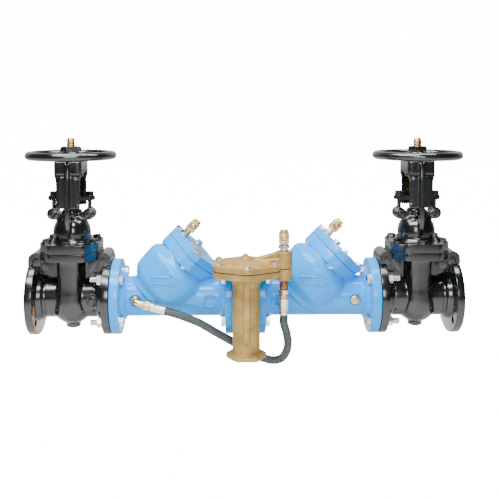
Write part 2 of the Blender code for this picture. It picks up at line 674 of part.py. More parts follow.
def gland(unit, name):
    """The follower: a two-lobed plate with a spigot that presses the packing down."""
    x, y, thick = GLAND_PLATE
    end = x / 2 - 9 * MM
    outline = [(x / 2, -9 * MM), (x / 2, 9 * MM), (end, 13 * MM), (18 * MM, y / 2), (-18 * MM, y / 2),
               (-end, 13 * MM), (-x / 2, 9 * MM), (-x / 2, -9 * MM), (-end, -13 * MM), (-18 * MM, -y / 2),
               (18 * MM, -y / 2), (end, -13 * MM)]
    piece = plate(name, unit, BLACK_PAINT, outline, GLAND_Z, GLAND_Z + thick)
    spigot_low = BOX_TOP - PACKING_DEPTH - 8 * MM + PACKING_DEPTH - 4 * MM + 2 * FACE_GAP
    join(piece, cylinder(name + "_spigot", unit, None, PACKING_OD / 2, spigot_low, GLAND_Z + OVERLAP,
                         sides=ROD_SIDES))
    cut(piece, cylinder(name + "_hole", unit, None, STEM_DIA / 2 + RUN_GAP, spigot_low - OVERLAP,
                        GLAND_Z + thick + OVERLAP, sides=ROD_SIDES))
    for side in (-1, 1):
        cut(piece, cylinder(f"{name}_bolt_hole_{side}", unit, None, EYE_BOLT / 2 + RUN_GAP,
                            GLAND_Z - OVERLAP, GLAND_Z + thick + OVERLAP,
                            centre=(side * LUG_X, 0, 0), sides=HOLE_SIDES))
    return piece


def eye_bolt(unit, name, side):
    """Eye, pin, shank and nut."""
    centre = (side * LUG_X, 0, LUG_Z)
    piece = cylinder(name, unit, ZINC, LUG_R - 4 * MM, -EYE_WIDTH / 2, EYE_WIDTH / 2, "Y", centre,
                     ROD_SIDES)
    nut_low = GLAND_Z + GLAND_PLATE[2] + FACE_GAP
    at = (side * LUG_X, 0, 0)
    join(piece,
         cylinder(name + "_pin", unit, None, EYE_BOLT / 2 - 1 * MM, -LUG_WIDTH / 2 - 3 * MM,
                  LUG_WIDTH / 2 + 3 * MM, "Y", centre, STUD_SIDES),
         cylinder(name + "_shank", unit, None, EYE_BOLT / 2, LUG_Z, EYE_BOLT_TOP, centre=at,
                  sides=HOLE_SIDES),
         hexagon(name + "_nut", unit, None, BONNET_HEX, nut_low, nut_low + GLAND_NUT, centre=at))
    return piece


def gate_valve(number, x, plugged):
    unit = datum(f"gate_{number}_datum", (x, 0, 0))
    name = f"gate_{number}_"
    gate_body(unit, name + "body", plugged)
    bonnet(unit, name + "bonnet_yoke")
    bonnet_gasket(unit, name + "bonnet_gasket_bolts")
    gate_stem(unit, name + "stem")
    wedge(unit, name + "wedge")
    yoke_sleeve(unit, name + "yoke_sleeve")
    handwheel(unit, name + "handwheel")
    wheel_nut(unit, name + "wheel_nut")
    packing(unit, name + "packing")
    gland(unit, name + "gland_follower")
    eye_bolt(unit, name + "eye_bolt_up", -1)
    eye_bolt(unit, name + "eye_bolt_down", 1)
    if plugged:
        front = -PORT_OD / 2 - 3 * MM
        plug = cylinder(name + "port_plug", unit, BLACK_PAINT, TAP_DIA / 2 - RUN_GAP, front - 1 * MM,
                        -BORE / 2 - 4 * MM, "Y", (PLUG_X, 0, PLUG_Z), HOLE_SIDES)
        square = 6 * MM
        join(plug, block(name + "plug_square", unit, None,
                         (PLUG_X - square, front - 11 * MM, PLUG_Z - square),
                         (PLUG_X + square, front - FACE_GAP, PLUG_Z + square)))


# Check valve -----------------------------------------------------------------------------------

def diamond():
    """The square plate seen along the chamber's axis: its corners, cut short, lie on the axes."""
    reach = PLATE_SIDE / math.sqrt(2.0)
    flat = reach - PLATE_CORNER
    return octagon(PLATE_CORNER, PLATE_CORNER, flat, flat)


def check_body(pipe, axis, name):
    edge = FLANGE_OD / 2
    hub = CHECK_HUB_OD / 2
    radius = CHECK_PIPE_OD / 2
    hub_end = CHECK_FLANGE + CHECK_HUB
    body = turned(name, pipe, BLUE_EPOXY, [
        (0, CHECK_LENGTH), (edge, CHECK_LENGTH), (edge, CHECK_LENGTH - CHECK_FLANGE),
        (hub, CHECK_LENGTH - CHECK_FLANGE), (hub - 2 * MM, CHECK_LENGTH - hub_end),
        (radius, CHECK_LENGTH - hub_end), (radius, hub_end), (hub - 2 * MM, hub_end), (hub, CHECK_FLANGE),
        (edge, CHECK_FLANGE), (edge, 0), (0, 0)], FLANGE_SIDES, "X")
    wide = CHAMBER_OD / 2
    neck = CHAMBER_NECK_OD / 2
    chamber = turned(name + "_chamber", axis, None, [
        (0, CHAMBER_TOP + OVERLAP), (neck, CHAMBER_TOP + OVERLAP), (neck, CHAMBER_TOP),
        (wide, CHAMBER_TOP - 23 * MM), (wide - 1 * MM, 66 * MM), (wide - 4 * MM, 37 * MM),
        (66 * MM, 21 * MM), (BAND_OD / 2, 17 * MM), (BAND_OD / 2, SEAT_BASE), (0, SEAT_BASE - 2 * MM)],
        BODY_SIDES)
    square = plate(name + "_square", axis, None, diamond(), CHAMBER_TOP, CHAMBER_TOP + PLATE_BODY)
    bosses = [cylinder(f"{name}_boss_{mark}", pipe, None, BOSS_OD / 2, -BOSS_Y, -BORE / 2 - 2 * MM, "Y",
                       (x, 0, 0), ROD_SIDES)
              for mark, x in (("in", BOSS_FROM_FACE), ("out", CHECK_LENGTH - BOSS_FROM_FACE))]
    join(body, chamber, square, *bosses)
    top = CHAMBER_TOP + PLATE_BODY
    cut(body, cylinder(name + "_bore", pipe, None, BORE / 2, -OVERLAP, CHECK_LENGTH + OVERLAP, "X"),
        cylinder(name + "_chamber_bore", axis, None, CHAMBER_BORE / 2, SEAT_BASE + SEAT_WALL - OVERLAP,
                 top + OVERLAP,
                 sides=BODY_SIDES))
    seat_top = SEAT_BASE + SEAT_WALL
    dam = cylinder(name + "_dam", axis, None, CHECK_PIPE_OD, SEAT_BASE + 0.5 * MM, seat_top)
    inside = cylinder(name + "_dam_edge", pipe, None, BORE / 2 + 5 * MM, CHECK_FLANGE,
                      CHECK_LENGTH - CHECK_FLANGE, "X",
                      sides=FLANGE_SIDES)
    change(dam, "INTERSECT", [inside])
    join(body, dam, cylinder(name + "_seat_wall", axis, None, BAND_OD / 2 - 4 * MM, SEAT_BASE + 1 * MM,
                             seat_top - 0.5 * MM))
    cut(body, cylinder(name + "_seat_hole", axis, None, SEAT_RING_OD / 2 + FACE_GAP, SEAT_BASE - 40 * MM,
                       seat_top + 2 * OVERLAP),
        *flange_holes(name + "_hole_in", pipe, 0, CHECK_FLANGE),
        *flange_holes(name + "_hole_out", pipe, CHECK_LENGTH - CHECK_FLANGE, CHECK_LENGTH))
    for i, (t, y) in enumerate(ring_points(4, COVER_BOLT_R)):
        cut(body, cylinder(f"{name}_stud_{i}", axis, None, COVER_BOLT / 2 + RUN_GAP,
                           top - COVER_THREAD - 2 * MM,
                           top + OVERLAP, centre=(t, y, 0), sides=STUD_SIDES))
    return body


def tap(body, pipe, name, x):
    """A threaded hole through one of the bosses of a check body."""
    cut(body, cylinder(name, pipe, None, TAP_DIA / 2, -BOSS_Y - OVERLAP, 0, "Y", (x, 0, 0), HOLE_SIDES))


def cover(axis, name):
    low = CHAMBER_TOP + PLATE_BODY + JOINT
    high = low + PLATE_COVER
    piece = plate(name, axis, BLUE_EPOXY, diamond(), low, high)
    join(piece, cylinder(name + "_guide", axis, None, GUIDE_OD / 2, low - GUIDE_LENGTH, low + OVERLAP,
                         sides=ROD_SIDES),
         cylinder(name + "_spigot", axis, None, CHAMBER_BORE / 2 - RUN_GAP, low - 6 * MM, low + OVERLAP,
                  sides=BODY_SIDES))
    cut(piece, cylinder(name + "_guide_hole", axis, None, DISC_STEM / 2 + RUN_GAP,
                        low - GUIDE_LENGTH - OVERLAP,
                        high - 5 * MM),
        cylinder(name + "_cock_hole", axis, None, COCK_NECK / 2 + RUN_GAP, low - 10 * MM,
                 high + OVERLAP, centre=(-COCK_ON_COVER, 0, 0), sides=ROD_SIDES))
    for i, (t, y) in enumerate(ring_points(4, COVER_BOLT_R)):
        cut(piece, cylinder(f"{name}_hole_{i}", axis, None, COVER_BOLT / 2 + RUN_GAP, low - OVERLAP,
                            high + OVERLAP, centre=(t, y, 0), sides=STUD_SIDES))
    return piece


def cover_gasket(axis, name):
    """The sheet under the cover with its four bolts."""
    low = CHAMBER_TOP + PLATE_BODY + FACE_GAP
    top = low + GASKET + FACE_GAP + PLATE_COVER
    piece = plate(name, axis, ZINC, [(t * 0.985, y * 0.985) for t, y in diamond()], low, low + GASKET)
    cut(piece, cylinder(name + "_opening", axis, None, CHAMBER_BORE / 2 + 1 * MM, low - OVERLAP,
                        low + GASKET + OVERLAP, sides=BODY_SIDES))
    for i, (t, y) in enumerate(ring_points(4, COVER_BOLT_R)):
        centre = (t, y, 0)
        join(piece, cylinder(f"{name}_shank_{i}", axis, None, COVER_BOLT / 2, low - COVER_THREAD + 1 * MM,
                             top + FACE_GAP + OVERLAP, centre=centre, sides=STUD_SIDES),
             hexagon(f"{name}_head_{i}", axis, None, COVER_HEX, top + FACE_GAP,
                     top + FACE_GAP + COVER_HEAD, centre=centre))
    return piece


def seat_ring(axis, name):
    lip = SEAT_BASE + SEAT_WALL + FACE_GAP
    return turned(name, axis, CAST_BRONZE, [
        (SEAT_LIP_OD / 2, lip + SEAT_LIP), (SEAT_LIP_OD / 2, lip), (SEAT_RING_OD / 2, lip),
        (SEAT_RING_OD / 2, SEAT_BASE), (SEAT_BORE / 2, SEAT_BASE), (SEAT_BORE / 2, lip + SEAT_LIP)],
        closed=True)


def check_disc(axis, name):
    """Disc, rubber face and guide stem."""
    low = SEAT_BASE + SEAT_WALL + FACE_GAP + SEAT_LIP + FACE_GAP
    high = low + DISC_WIDTH
    return turned(name, axis, CAST_BRONZE, [
        (0, DISC_STEM_TOP), (DISC_STEM / 2, DISC_STEM_TOP), (DISC_STEM / 2, high + 3 * MM),
        (DISC_STEM, high), (DISC_OD / 2, high), (DISC_OD / 2, low), (0, low)])


def check_valve(number, x):
    pipe = datum(f"check_{number}_datum", (x, 0, 0))
    axis = datum(f"check_{number}_axis", (x + CHAMBER_X, 0, 0), (0, LEAN, 0))
    name = f"check_{number}_"
    body = check_body(pipe, axis, name + "body")
    cover(axis, name + "cover")
    cover_gasket(axis, name + "cover_gasket_bolts")
    seat_ring(axis, name + "seat_ring")
    check_disc(axis, name + "disc")
    disc_top = SEAT_BASE + SEAT_WALL + 2 * FACE_GAP + SEAT_LIP + DISC_WIDTH
    coil(name + "spring", axis, STAINLESS, SPRING_R, SPRING_WIRE, disc_top + FACE_GAP,
         CHAMBER_TOP + PLATE_BODY + JOINT - 6 * MM - FACE_GAP, SPRING_TURNS)
    test_cock(axis, f"test_cock_{number}_", (-COCK_ON_COVER, 0,
                                             CHAMBER_TOP + PLATE_BODY + JOINT + PLATE_COVER))
    return pipe, body


def test_cock(unit, name, foot):
    """A small ball valve; its slotted stem turns about Y."""
    at = Vector(foot)
    across, deep, tall = COCK_BODY
    base = at.z + COCK_NECK_LENGTH
    middle = base + tall * 0.45
    body = block(name + "body", unit, BRASS, (at.x - across / 2, at.y - deep / 2, base),
                 (at.x + across / 2, at.y + deep / 2, base + tall), 3 * MM, True)
    join(body, cylinder(name + "neck", unit, None, COCK_NECK / 2, at.z - 12 * MM, base + OVERLAP,
                        centre=(at.x, at.y, 0), sides=ROD_SIDES))
    cut(body, cylinder(name + "way", unit, None, 4 * MM, at.z - 14 * MM, base + tall + OVERLAP,
                       centre=(at.x, at.y, 0), sides=STUD_SIDES),
        cylinder(name + "cross", unit, None, turning_hole(COCK_STEM / 2), at.y - deep,
                 at.y + deep / 2 - 4 * MM, "Y",
                 (at.x, 0, middle), ROD_SIDES))
    stem = cylinder(name + "stem", unit, BRASS, COCK_STEM / 2, -deep / 2 - 4 * MM,
                    deep / 2 - 4 * MM - FACE_GAP,
                    "Y", sides=ROD_SIDES)
    stem.location = (at.x, at.y, middle)
    cut(stem, block(name + "slot", unit, None, (at.x - 10 * MM, at.y - deep / 2 - 8 * MM,
                                                middle - COCK_SLOT / 2),
                    (at.x + 10 * MM, at.y - deep / 2 - 1 * MM, middle + COCK_SLOT / 2)))


# Spool and relief valve ------------------------------------------------------------------------

def spool(unit, name):
    half = SPOOL_LENGTH / 2
    wide, tall = SPOOL_PORT
    piece = cylinder(name, unit, CAST_BRONZE, SPOOL_OD / 2, -half, half, "X", sides=FLANGE_SIDES)
    join(piece, block(name + "_branch", unit, None, (-wide / 2, -SPOOL_PORT_Y, -tall / 2),
                      (wide / 2, -BORE / 2 - 3 * MM, tall / 2)))
    cut(piece, cylinder(name + "_bore", unit, None, BORE / 2, -half - OVERLAP, half + OVERLAP, "X"),
        cylinder(name + "_branch_bore", unit, None, RELIEF_PORT / 2, -SPOOL_PORT_Y - OVERLAP, 0, "Y",
                 sides=ROD_SIDES))
    return piece


def hex_outline(radius):
    """A hexagon with corners towards the front and the back."""
    return ring_points(6, radius, math.pi / 2)


def boss_arm(radius, boss_x, width):
    """The strip that joins the hexagon to the hose boss."""
    return [(radius * 0.5, -width / 2), (boss_x, -width / 2), (boss_x, width / 2),
            (radius * 0.5, width / 2)]


def relief_body(unit, name):
    radius = RELIEF_OD / 2
    wide, tall = SPOOL_PORT
    split = HOUSING_SPLIT - FACE_GAP
    piece = turned(name, unit, CAST_BRONZE, [
        (0, HOUSING_BASE + OVERLAP), (70 * MM, HOUSING_BASE + OVERLAP), (68 * MM, HOUSING_BASE - 3 * MM),
        (radius + 4 * MM, HOUSING_BASE - 18 * MM), (radius, HOUSING_BASE - 25 * MM),
        (radius, -RELIEF_BOTTOM + OVERLAP), (0, -RELIEF_BOTTOM + OVERLAP)], BODY_SIDES)
    back = RELIEF_Y - SPOOL_PORT_Y - GASKET - 2 * FACE_GAP
    join(piece, plate(name + "_housing", unit, None, hex_outline(HOUSING_R), HOUSING_BASE, split),
         cylinder(name + "_hose_boss", unit, None, RIDGE_BOSS_OD / 2, RIDGE_BOSS_BASE, split,
                  centre=(RIDGE_BOSS_X, 0, 0), sides=ROD_SIDES),
         plate(name + "_boss_arm", unit, None, boss_arm(HOUSING_R, RIDGE_BOSS_X, RIDGE_BOSS_OD - 6 * MM),
               HOUSING_BASE, split),
         plate(name + "_lip", unit, None, ring_points(6, LIP_R, 0.0), -RELIEF_BOTTOM, -RELIEF_BOTTOM + LIP),
         block(name + "_rib", unit, None, (-RELIEF_RIB / 2, -radius - RELIEF_RIB_OUT, -75 * MM),
               (RELIEF_RIB / 2, -radius + 6 * MM, HOUSING_BASE - 4 * MM)),
         block(name + "_branch", unit, None, (-wide / 2, radius - 12 * MM, -tall / 2),
               (wide / 2, back, tall / 2)))
    seat_top = RELIEF_SEAT_Z + RELIEF_SEAT
    cut(piece, cylinder(name + "_outlet", unit, None, RELIEF_BORE / 2, -RELIEF_BOTTOM - OVERLAP,
                        RELIEF_SEAT_Z),
        cylinder(name + "_inlet", unit, None, RELIEF_BORE / 2, seat_top, 45 * MM),
        cylinder(name + "_seat_hole", unit, None, RELIEF_SEAT_BORE / 2, RELIEF_SEAT_Z - OVERLAP,
                 seat_top + OVERLAP, sides=ROD_SIDES),
        cylinder(name + "_port", unit, None, RELIEF_PORT / 2, 0, back + OVERLAP, "Y", sides=ROD_SIDES),
        cylinder(name + "_guide", unit, None, RELIEF_STEM / 2 + RUN_GAP, 40 * MM, HOUSING_BASE + OVERLAP),
        cylinder(name + "_chamber", unit, None, CHAMBER_R, 72 * MM, HOUSING_SPLIT + OVERLAP,
                 sides=BODY_SIDES),
        cylinder(name + "_hose_hole", unit, None, 7 * MM, RIDGE_BOSS_BASE - OVERLAP,
                 HOUSING_SPLIT + OVERLAP,
                 centre=(RIDGE_BOSS_X, 0, 0), sides=HOLE_SIDES))
    for i, (x, y) in enumerate(ring_points(6, HOUSING_BOLT_R, math.pi / 2)):
        cut(piece, cylinder(f"{name}_stud_{i}", unit, None, HOUSING_BOLT / 2 + RUN_GAP,
                            HOUSING_BASE - OVERLAP,
                            HOUSING_SPLIT + OVERLAP, centre=(x, y, 0), sides=STUD_SIDES))
    return piece


def relief_cover(unit, name):
    low = HOUSING_SPLIT + DIAPHRAGM + FACE_GAP
    rim = low + COVER_RIM
    piece = plate(name, unit, CAST_BRONZE, hex_outline(HOUSING_R), low, rim)
    dome = turned(name + "_dome", unit, None, [
        (0, COVER_TOP), (12 * MM, COVER_TOP), (14 * MM, COVER_TOP - 5 * MM), (62 * MM, rim + 1 * MM),
        (62 * MM, low + OVERLAP), (0, low + OVERLAP)], BODY_SIDES)
    ridge_low = rim - 3 * MM
    ridge = plate(name + "_ridge", unit, None, [
        (10 * MM, ridge_low), (RIDGE_BOSS_X, ridge_low), (RIDGE_BOSS_X, RIDGE_BOSS_TOP - 4 * MM),
        (RIDGE_BOSS_X - 20 * MM, RIDGE_BOSS_TOP - 4 * MM), (14 * MM, COVER_TOP - 7 * MM)],
        -12 * MM, 12 * MM, "Y")
    join(piece, dome, ridge,
         cylinder(name + "_boss", unit, None, RIDGE_BOSS_OD / 2, low, RIDGE_BOSS_TOP,
                  centre=(RIDGE_BOSS_X, 0, 0), sides=ROD_SIDES),
         plate(name + "_boss_arm", unit, None, boss_arm(HOUSING_R, RIDGE_BOSS_X, RIDGE_BOSS_OD - 6 * MM),
               low, rim))
    cut(piece, turned(name + "_chamber", unit, None, [
        (0, COVER_TOP - 12 * MM), (20 * MM, COVER_TOP - 14 * MM), (CHAMBER_R, rim - 3 * MM),
        (CHAMBER_R, low - OVERLAP), (0, low - OVERLAP)], BODY_SIDES),
        cylinder(name + "_boss_hole", unit, None, COCK_NECK / 2 + RUN_GAP, low - OVERLAP,
                 RIDGE_BOSS_TOP + OVERLAP,
                 centre=(RIDGE_BOSS_X, 0, 0), sides=ROD_SIDES),
        cylinder(name + "_way", unit, None, 4 * MM, 20 * MM, RIDGE_BOSS_X, "X", (0, 0, rim - 7 * MM), 8))
    for i, (x, y) in enumerate(ring_points(6, HOUSING_BOLT_R, math.pi / 2)):
        cut(piece, cylinder(f"{name}_hole_{i}", unit, None, HOUSING_BOLT / 2 + RUN_GAP, low - OVERLAP,
                            rim + 30 * MM, centre=(x, y, 0), sides=STUD_SIDES),
            cylinder(f"{name}_spot_{i}", unit, None, HOUSING_HEX / math.sqrt(3.0) + RUN_GAP, rim,
                     rim + 30 * MM, centre=(x, y, 0), sides=ROD_SIDES))
    return piece


def relief_diaphragm(unit, name):
    """The diaphragm's clamped ring with the six housing bolts."""
    low = HOUSING_SPLIT
    high = low + DIAPHRAGM
    rim = high + FACE_GAP + COVER_RIM + FACE_GAP
    piece = plate(name, unit, ZINC, hex_outline(HOUSING_R - 1 * MM), low, high)
    cut(piece, cylinder(name + "_opening", unit, None, PISTON_OD / 2 + RUN_GAP, low - OVERLAP,
                        high + OVERLAP))
    for i, (x, y) in enumerate(ring_points(6, HOUSING_BOLT_R, math.pi / 2)):
        join(piece, cylinder(f"{name}_shank_{i}", unit, None, HOUSING_BOLT / 2, HOUSING_BASE - 3 * MM,
                             rim + OVERLAP, centre=(x, y, 0), sides=STUD_SIDES),
             hexagon(f"{name}_head_{i}", unit, None, HOUSING_HEX, rim, rim + HOUSING_HEAD,
                     centre=(x, y, 0)))
    return piece


def relief_stem(unit, name):
    """Valve disc, stem and the plate that clamps the middle of the diaphragm."""
    low = RELIEF_SEAT_Z + RELIEF_SEAT + FACE_GAP
    stem = RELIEF_STEM / 2
    plate_low = HOUSING_SPLIT - 3 * MM
    return turned(name, unit, STAINLESS, [
        (0, plate_low + 6 * MM), (PISTON_OD / 2, plate_low + 6 * MM), (PISTON_OD / 2, plate_low),
        (stem, plate_low), (stem, low + 7 * MM), (RELIEF_DISC / 2, low + 6 * MM), (RELIEF_DISC / 2, low),
        (0, low)])


def relief_valve():
    unit = datum("relief_datum", (CENTRE_X, -RELIEF_Y, 0))
    relief_body(unit, "relief_body")
    relief_cover(unit, "relief_cover")
    relief_diaphragm(unit, "relief_diaphragm_bolts")
    relief_stem(unit, "relief_stem_disc")
    coil("relief_spring", unit, STAINLESS, 12 * MM, SPRING_WIRE, RELIEF_SEAT_Z + RELIEF_SEAT + 8 * MM,
         45 * MM - FACE_GAP, SPRING_TURNS)
    test_cock(unit, "test_cock_3_", (RIDGE_BOSS_X, 0, RIDGE_BOSS_TOP))
    return unit


# Hose and fittings -----------------------------------------------------------------------------

def smooth_line(knots, steps):
    """Points on a Catmull-Rom curve through the knots."""
    knots = [Vector(k) for k in knots]
    padded = [2 * knots[0] - knots[1], *knots, 2 * knots[-1] - knots[-2]]
    line = []
    for a, b, c, d in zip(padded, padded[1:], padded[2:], padded[3:]):
        for i in range(steps):
            t = i / steps
            line.append(0.5 * (2 * b + (c - a) * t + (2 * a - 5 * b + 4 * c - d) * t * t
                               + (3 * b - a - 3 * c + d) * t * t * t))
    line.append(knots[-1])
    return line


def rod(name, unit, colour, start, direction, length, radius, sides):
    """A cylinder from a point along any direction."""
    shape = bmesh.new()
    bmesh.ops.create_cone(shape, cap_ends=True, segments=sides, radius1=radius, radius2=radius,
                          depth=length)
    turn = Vector((0, 0, 1)).rotation_difference(direction).to_matrix().to_4x4()
    middle = start + direction * (length / 2)
    bmesh.ops.transform(shape, matrix=Matrix.Translation(middle) @ turn, verts=shape.verts)
    return add(from_bmesh(shape, name), name, unit, colour)


def hose_fittings():
    """Elbow and ferrule at the inlet boss, nipple and ferrule at the relief valve, and the hose."""
    corner = Vector((CHECK_1_X + BOSS_FROM_FACE, -ELBOW_Y, 2 * MM))
    along = Vector((math.cos(ELBOW_DROP), 0, -math.sin(ELBOW_DROP)))
    elbow = cylinder("hose_elbow", None, BRASS, ELBOW_DIA / 2, -ELBOW_Y - ELBOW_DIA / 2,
                     -BOSS_Y - FACE_GAP, "Y",
                     (corner.x, 0, corner.z), ROD_SIDES)
    join(elbow, cylinder("hose_elbow_thread", None, None, TAP_DIA / 2 - 1 * MM, -BOSS_Y - 2 * MM,
                         -BOSS_Y + 10 * MM,
                         "Y", (corner.x, 0, 0), HOLE_SIDES),
         rod("hose_elbow_run", None, None, corner, along, ELBOW_RUN, ELBOW_DIA / 2, ROD_SIDES))
    end = corner + along * (ELBOW_RUN + FACE_GAP)
    first = rod("hose_end_inlet", None, ZINC, end, along, UNION_LENGTH, UNION_HEX / math.sqrt(3.0), 6)
    ferrule_start = end + along * (UNION_LENGTH - OVERLAP)
    join(first, rod("hose_end_inlet_ferrule", None, None, ferrule_start, along, FERRULE_LENGTH,
                    FERRULE_OD / 2, ROD_SIDES))
    hose_start = ferrule_start + along * (FERRULE_LENGTH + FACE_GAP)

    down = Vector((0, 0, -1))
    boss = Vector((CENTRE_X + RIDGE_BOSS_X, -RELIEF_Y, RIDGE_BOSS_BASE))
    nipple = rod("hose_nipple", None, COPPER, boss + down * FACE_GAP, down, NIPPLE_LENGTH, FERRULE_OD / 2,
                 ROD_SIDES)
    join(nipple, rod("hose_nipple_thread", None, None, boss - down * 10 * MM, down, 12 * MM, 6 * MM,
                     HOLE_SIDES))
    end = boss + down * (2 * FACE_GAP + NIPPLE_LENGTH)
    second = rod("hose_end_relief", None, ZINC, end, down, UNION_LENGTH + 8 * MM,
                 UNION_HEX / math.sqrt(3.0), 6)
    ferrule_start = end + down * (UNION_LENGTH + 8 * MM - OVERLAP)
    join(second, rod("hose_end_relief_ferrule", None, None, ferrule_start, down, FERRULE_LENGTH,
                     FERRULE_OD / 2, ROD_SIDES))
    hose_end = ferrule_start + down * (FERRULE_LENGTH + FACE_GAP)

    route = [Vector((CENTRE_X + x * MM, y * MM, z * MM)) for x, y, z in HOSE_ROUTE]
    straight = (0.0, 0.5 * HOSE_DIA, HOSE_DIA)
    knots = [hose_start + along * s for s in straight] + route
    knots += [hose_end + down * s for s in reversed(straight)]
    tube("sensing_hose", None, HOSE_RUBBER, smooth_line(knots, 2), HOSE_DIA / 2, 2)


# Bolted joints ---------------------------------------------------------------------------------

def joint_gasket(unit, name, low, outer, sides=FLANGE_SIDES):
    piece = cylinder(name, unit, ZINC, outer, low, low + GASKET, "X", sides=sides)
    cut(piece, cylinder(name + "_opening", unit, None, BORE / 2 + 1 * MM, low - OVERLAP,
                        low + GASKET + OVERLAP, "X"))
    return piece


def bolted_joint(name, face, head_grip, nut_grip, head_side, second_head=False):
    """A gasket and its four bolts. The heads bear on the side head_side points to."""
    unit = datum(name + "_datum", (face, 0, 0))
    piece = joint_gasket(unit, name, FACE_GAP, FLANGE_OD / 2 - 2 * MM)
    for i, (y, z) in enumerate(FLANGE_BOLT_PLACES):
        centre = (0, y, z)
        head = head_grip + FACE_GAP
        nut = -nut_grip - FACE_GAP
        nut_height = BOLT_HEAD if second_head else BOLT_NUT
        end = nut - nut_height + OVERLAP if second_head else nut - BOLT_NUT - BOLT_END
        spans = [(nut - nut_height, nut), (head, head + BOLT_HEAD), (end, head + OVERLAP)]
        if head_side < 0:
            spans = [(JOINT - high, JOINT - low) for low, high in spans]
        join(piece, cylinder(f"{name}_shank_{i}", unit, None, BOLT_DIA / 2, *spans[2], "X", centre,
                             HOLE_SIDES),
             hexagon(f"{name}_head_{i}", unit, None, BOLT_HEX, *spans[1], "X", centre),
             hexagon(f"{name}_nut_{i}", unit, None, BOLT_HEX, *spans[0], "X", centre))


def main():
    gate_valve(1, GATE_1_X, True)
    first_pipe, first_body = check_valve(1, CHECK_1_X)
    tap(first_body, first_pipe, "check_1_tap", BOSS_FROM_FACE)
    centre = datum("spool_datum", (CENTRE_X, 0, 0))
    spool(centre, "centre_spool")
    relief_valve()
    second_pipe, second_body = check_valve(2, CHECK_2_X)
    plug_x = CHECK_LENGTH - BOSS_FROM_FACE
    tap(second_body, second_pipe, "check_2_tap", plug_x)
    plug = cylinder("check_2_port_plug", second_pipe, BRASS, TAP_DIA / 2 - RUN_GAP, -BOSS_Y - 1 * MM,
                    -BORE / 2 - 4 * MM, "Y", (plug_x, 0, 0), HOLE_SIDES)
    join(plug, cylinder("plug_head", second_pipe, None, 11 * MM, -BOSS_Y - 5 * MM, -BOSS_Y - FACE_GAP, "Y",
                        (plug_x, 0, 0), ROD_SIDES))
    gate_valve(2, GATE_2_X, False)
    hose_fittings()
    bolted_joint("inlet_joint_gasket_bolts", GATE_LENGTH, JOINT + CHECK_FLANGE, GATE_FLANGE, 1)
    far = SPOOL_LENGTH + 2 * JOINT + CHECK_FLANGE
    bolted_joint("centre_joint_gasket_bolts", SPOOL_X - JOINT, far, CHECK_FLANGE, 1, True)
    second = datum("centre_joint_second_datum", (SPOOL_X + SPOOL_LENGTH, 0, 0))
    joint_gasket(second, "centre_joint_second_gasket", FACE_GAP, SPOOL_OD / 2 - 1 * MM, PIPE_SIDES)
    bolted_joint("outlet_joint_gasket_bolts", GATE_2_START - JOINT, JOINT + CHECK_FLANGE, GATE_FLANGE, -1)
    relief_gasket = datum("relief_gasket_datum", (CENTRE_X, -SPOOL_PORT_Y - FACE_GAP, 0))
    wide, tall = SPOOL_PORT
    sheet = block("relief_port_gasket", relief_gasket, GASKET_SHEET, (-wide / 2, -GASKET, -tall / 2),
                  (wide / 2, 0, tall / 2))
    cut(sheet, cylinder("relief_port_gasket_hole", relief_gasket, None, RELIEF_PORT / 2, -OVERLAP - GASKET,
                        OVERLAP, "Y", sides=ROD_SIDES))


main()
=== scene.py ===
"""Looks of the flanged reduced-pressure backflow preventer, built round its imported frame.

Shapes are made in millimetres in each unit's own place, and turned to metres when a piece is finished.
"""

import math

import bmesh
import bpy
from mathutils import Matrix, Vector


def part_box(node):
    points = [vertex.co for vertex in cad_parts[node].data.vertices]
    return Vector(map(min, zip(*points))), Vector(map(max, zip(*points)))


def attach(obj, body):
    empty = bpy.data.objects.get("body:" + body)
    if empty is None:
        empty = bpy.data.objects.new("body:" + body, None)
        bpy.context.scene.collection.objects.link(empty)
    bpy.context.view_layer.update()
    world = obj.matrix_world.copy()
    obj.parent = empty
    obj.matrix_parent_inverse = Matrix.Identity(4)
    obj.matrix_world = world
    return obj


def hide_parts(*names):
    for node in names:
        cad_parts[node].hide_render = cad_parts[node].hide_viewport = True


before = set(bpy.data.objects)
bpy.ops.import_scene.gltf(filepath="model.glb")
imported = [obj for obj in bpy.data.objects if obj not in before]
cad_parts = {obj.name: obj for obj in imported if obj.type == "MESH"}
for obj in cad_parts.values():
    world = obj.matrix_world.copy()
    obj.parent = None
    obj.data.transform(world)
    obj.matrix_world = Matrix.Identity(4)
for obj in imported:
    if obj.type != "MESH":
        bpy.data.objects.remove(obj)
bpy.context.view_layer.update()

METRES = Matrix.Scale(0.001, 4)
UP_TO_X = Matrix.Rotation(math.pi / 2, 4, "Y")  # +Z becomes +X
UP_TO_FRONT = Matrix.Rotation(math.pi / 2, 4, "X")  # +Z becomes -Y
UP_TO_DOWN = Matrix.Rotation(math.pi, 4, "X")
X_TO_SIDE = Matrix(((0, 0, 1, 0), (1, 0, 0, 0), (0, 1, 0, 0), (0, 0, 0, 1)))  # (x, y) becomes (Y, Z)


def mm(corner):
    return Vector(corner) * 1000.0


def span(node_name):
    low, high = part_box(node_name)
    return mm(low), mm(high)


# Places, read from the frame ------------------------------------------

GATE_X = {}
CHECK_START = {}
for unit_number in (1, 2):
    low_corner, high_corner = span(f"gate_{unit_number}_body")
    GATE_X[unit_number] = (low_corner.x + high_corner.x) / 2
    CHECK_START[unit_number] = span(f"check_{unit_number}_body")[0].x
SPOOL_LOW, SPOOL_HIGH = span("centre_spool")
CENTRE_X = (SPOOL_LOW.x + SPOOL_HIGH.x) / 2
COVER_LOW, COVER_HIGH = span("relief_cover")
RELIEF_Y = (COVER_LOW.y + COVER_HIGH.y) / 2

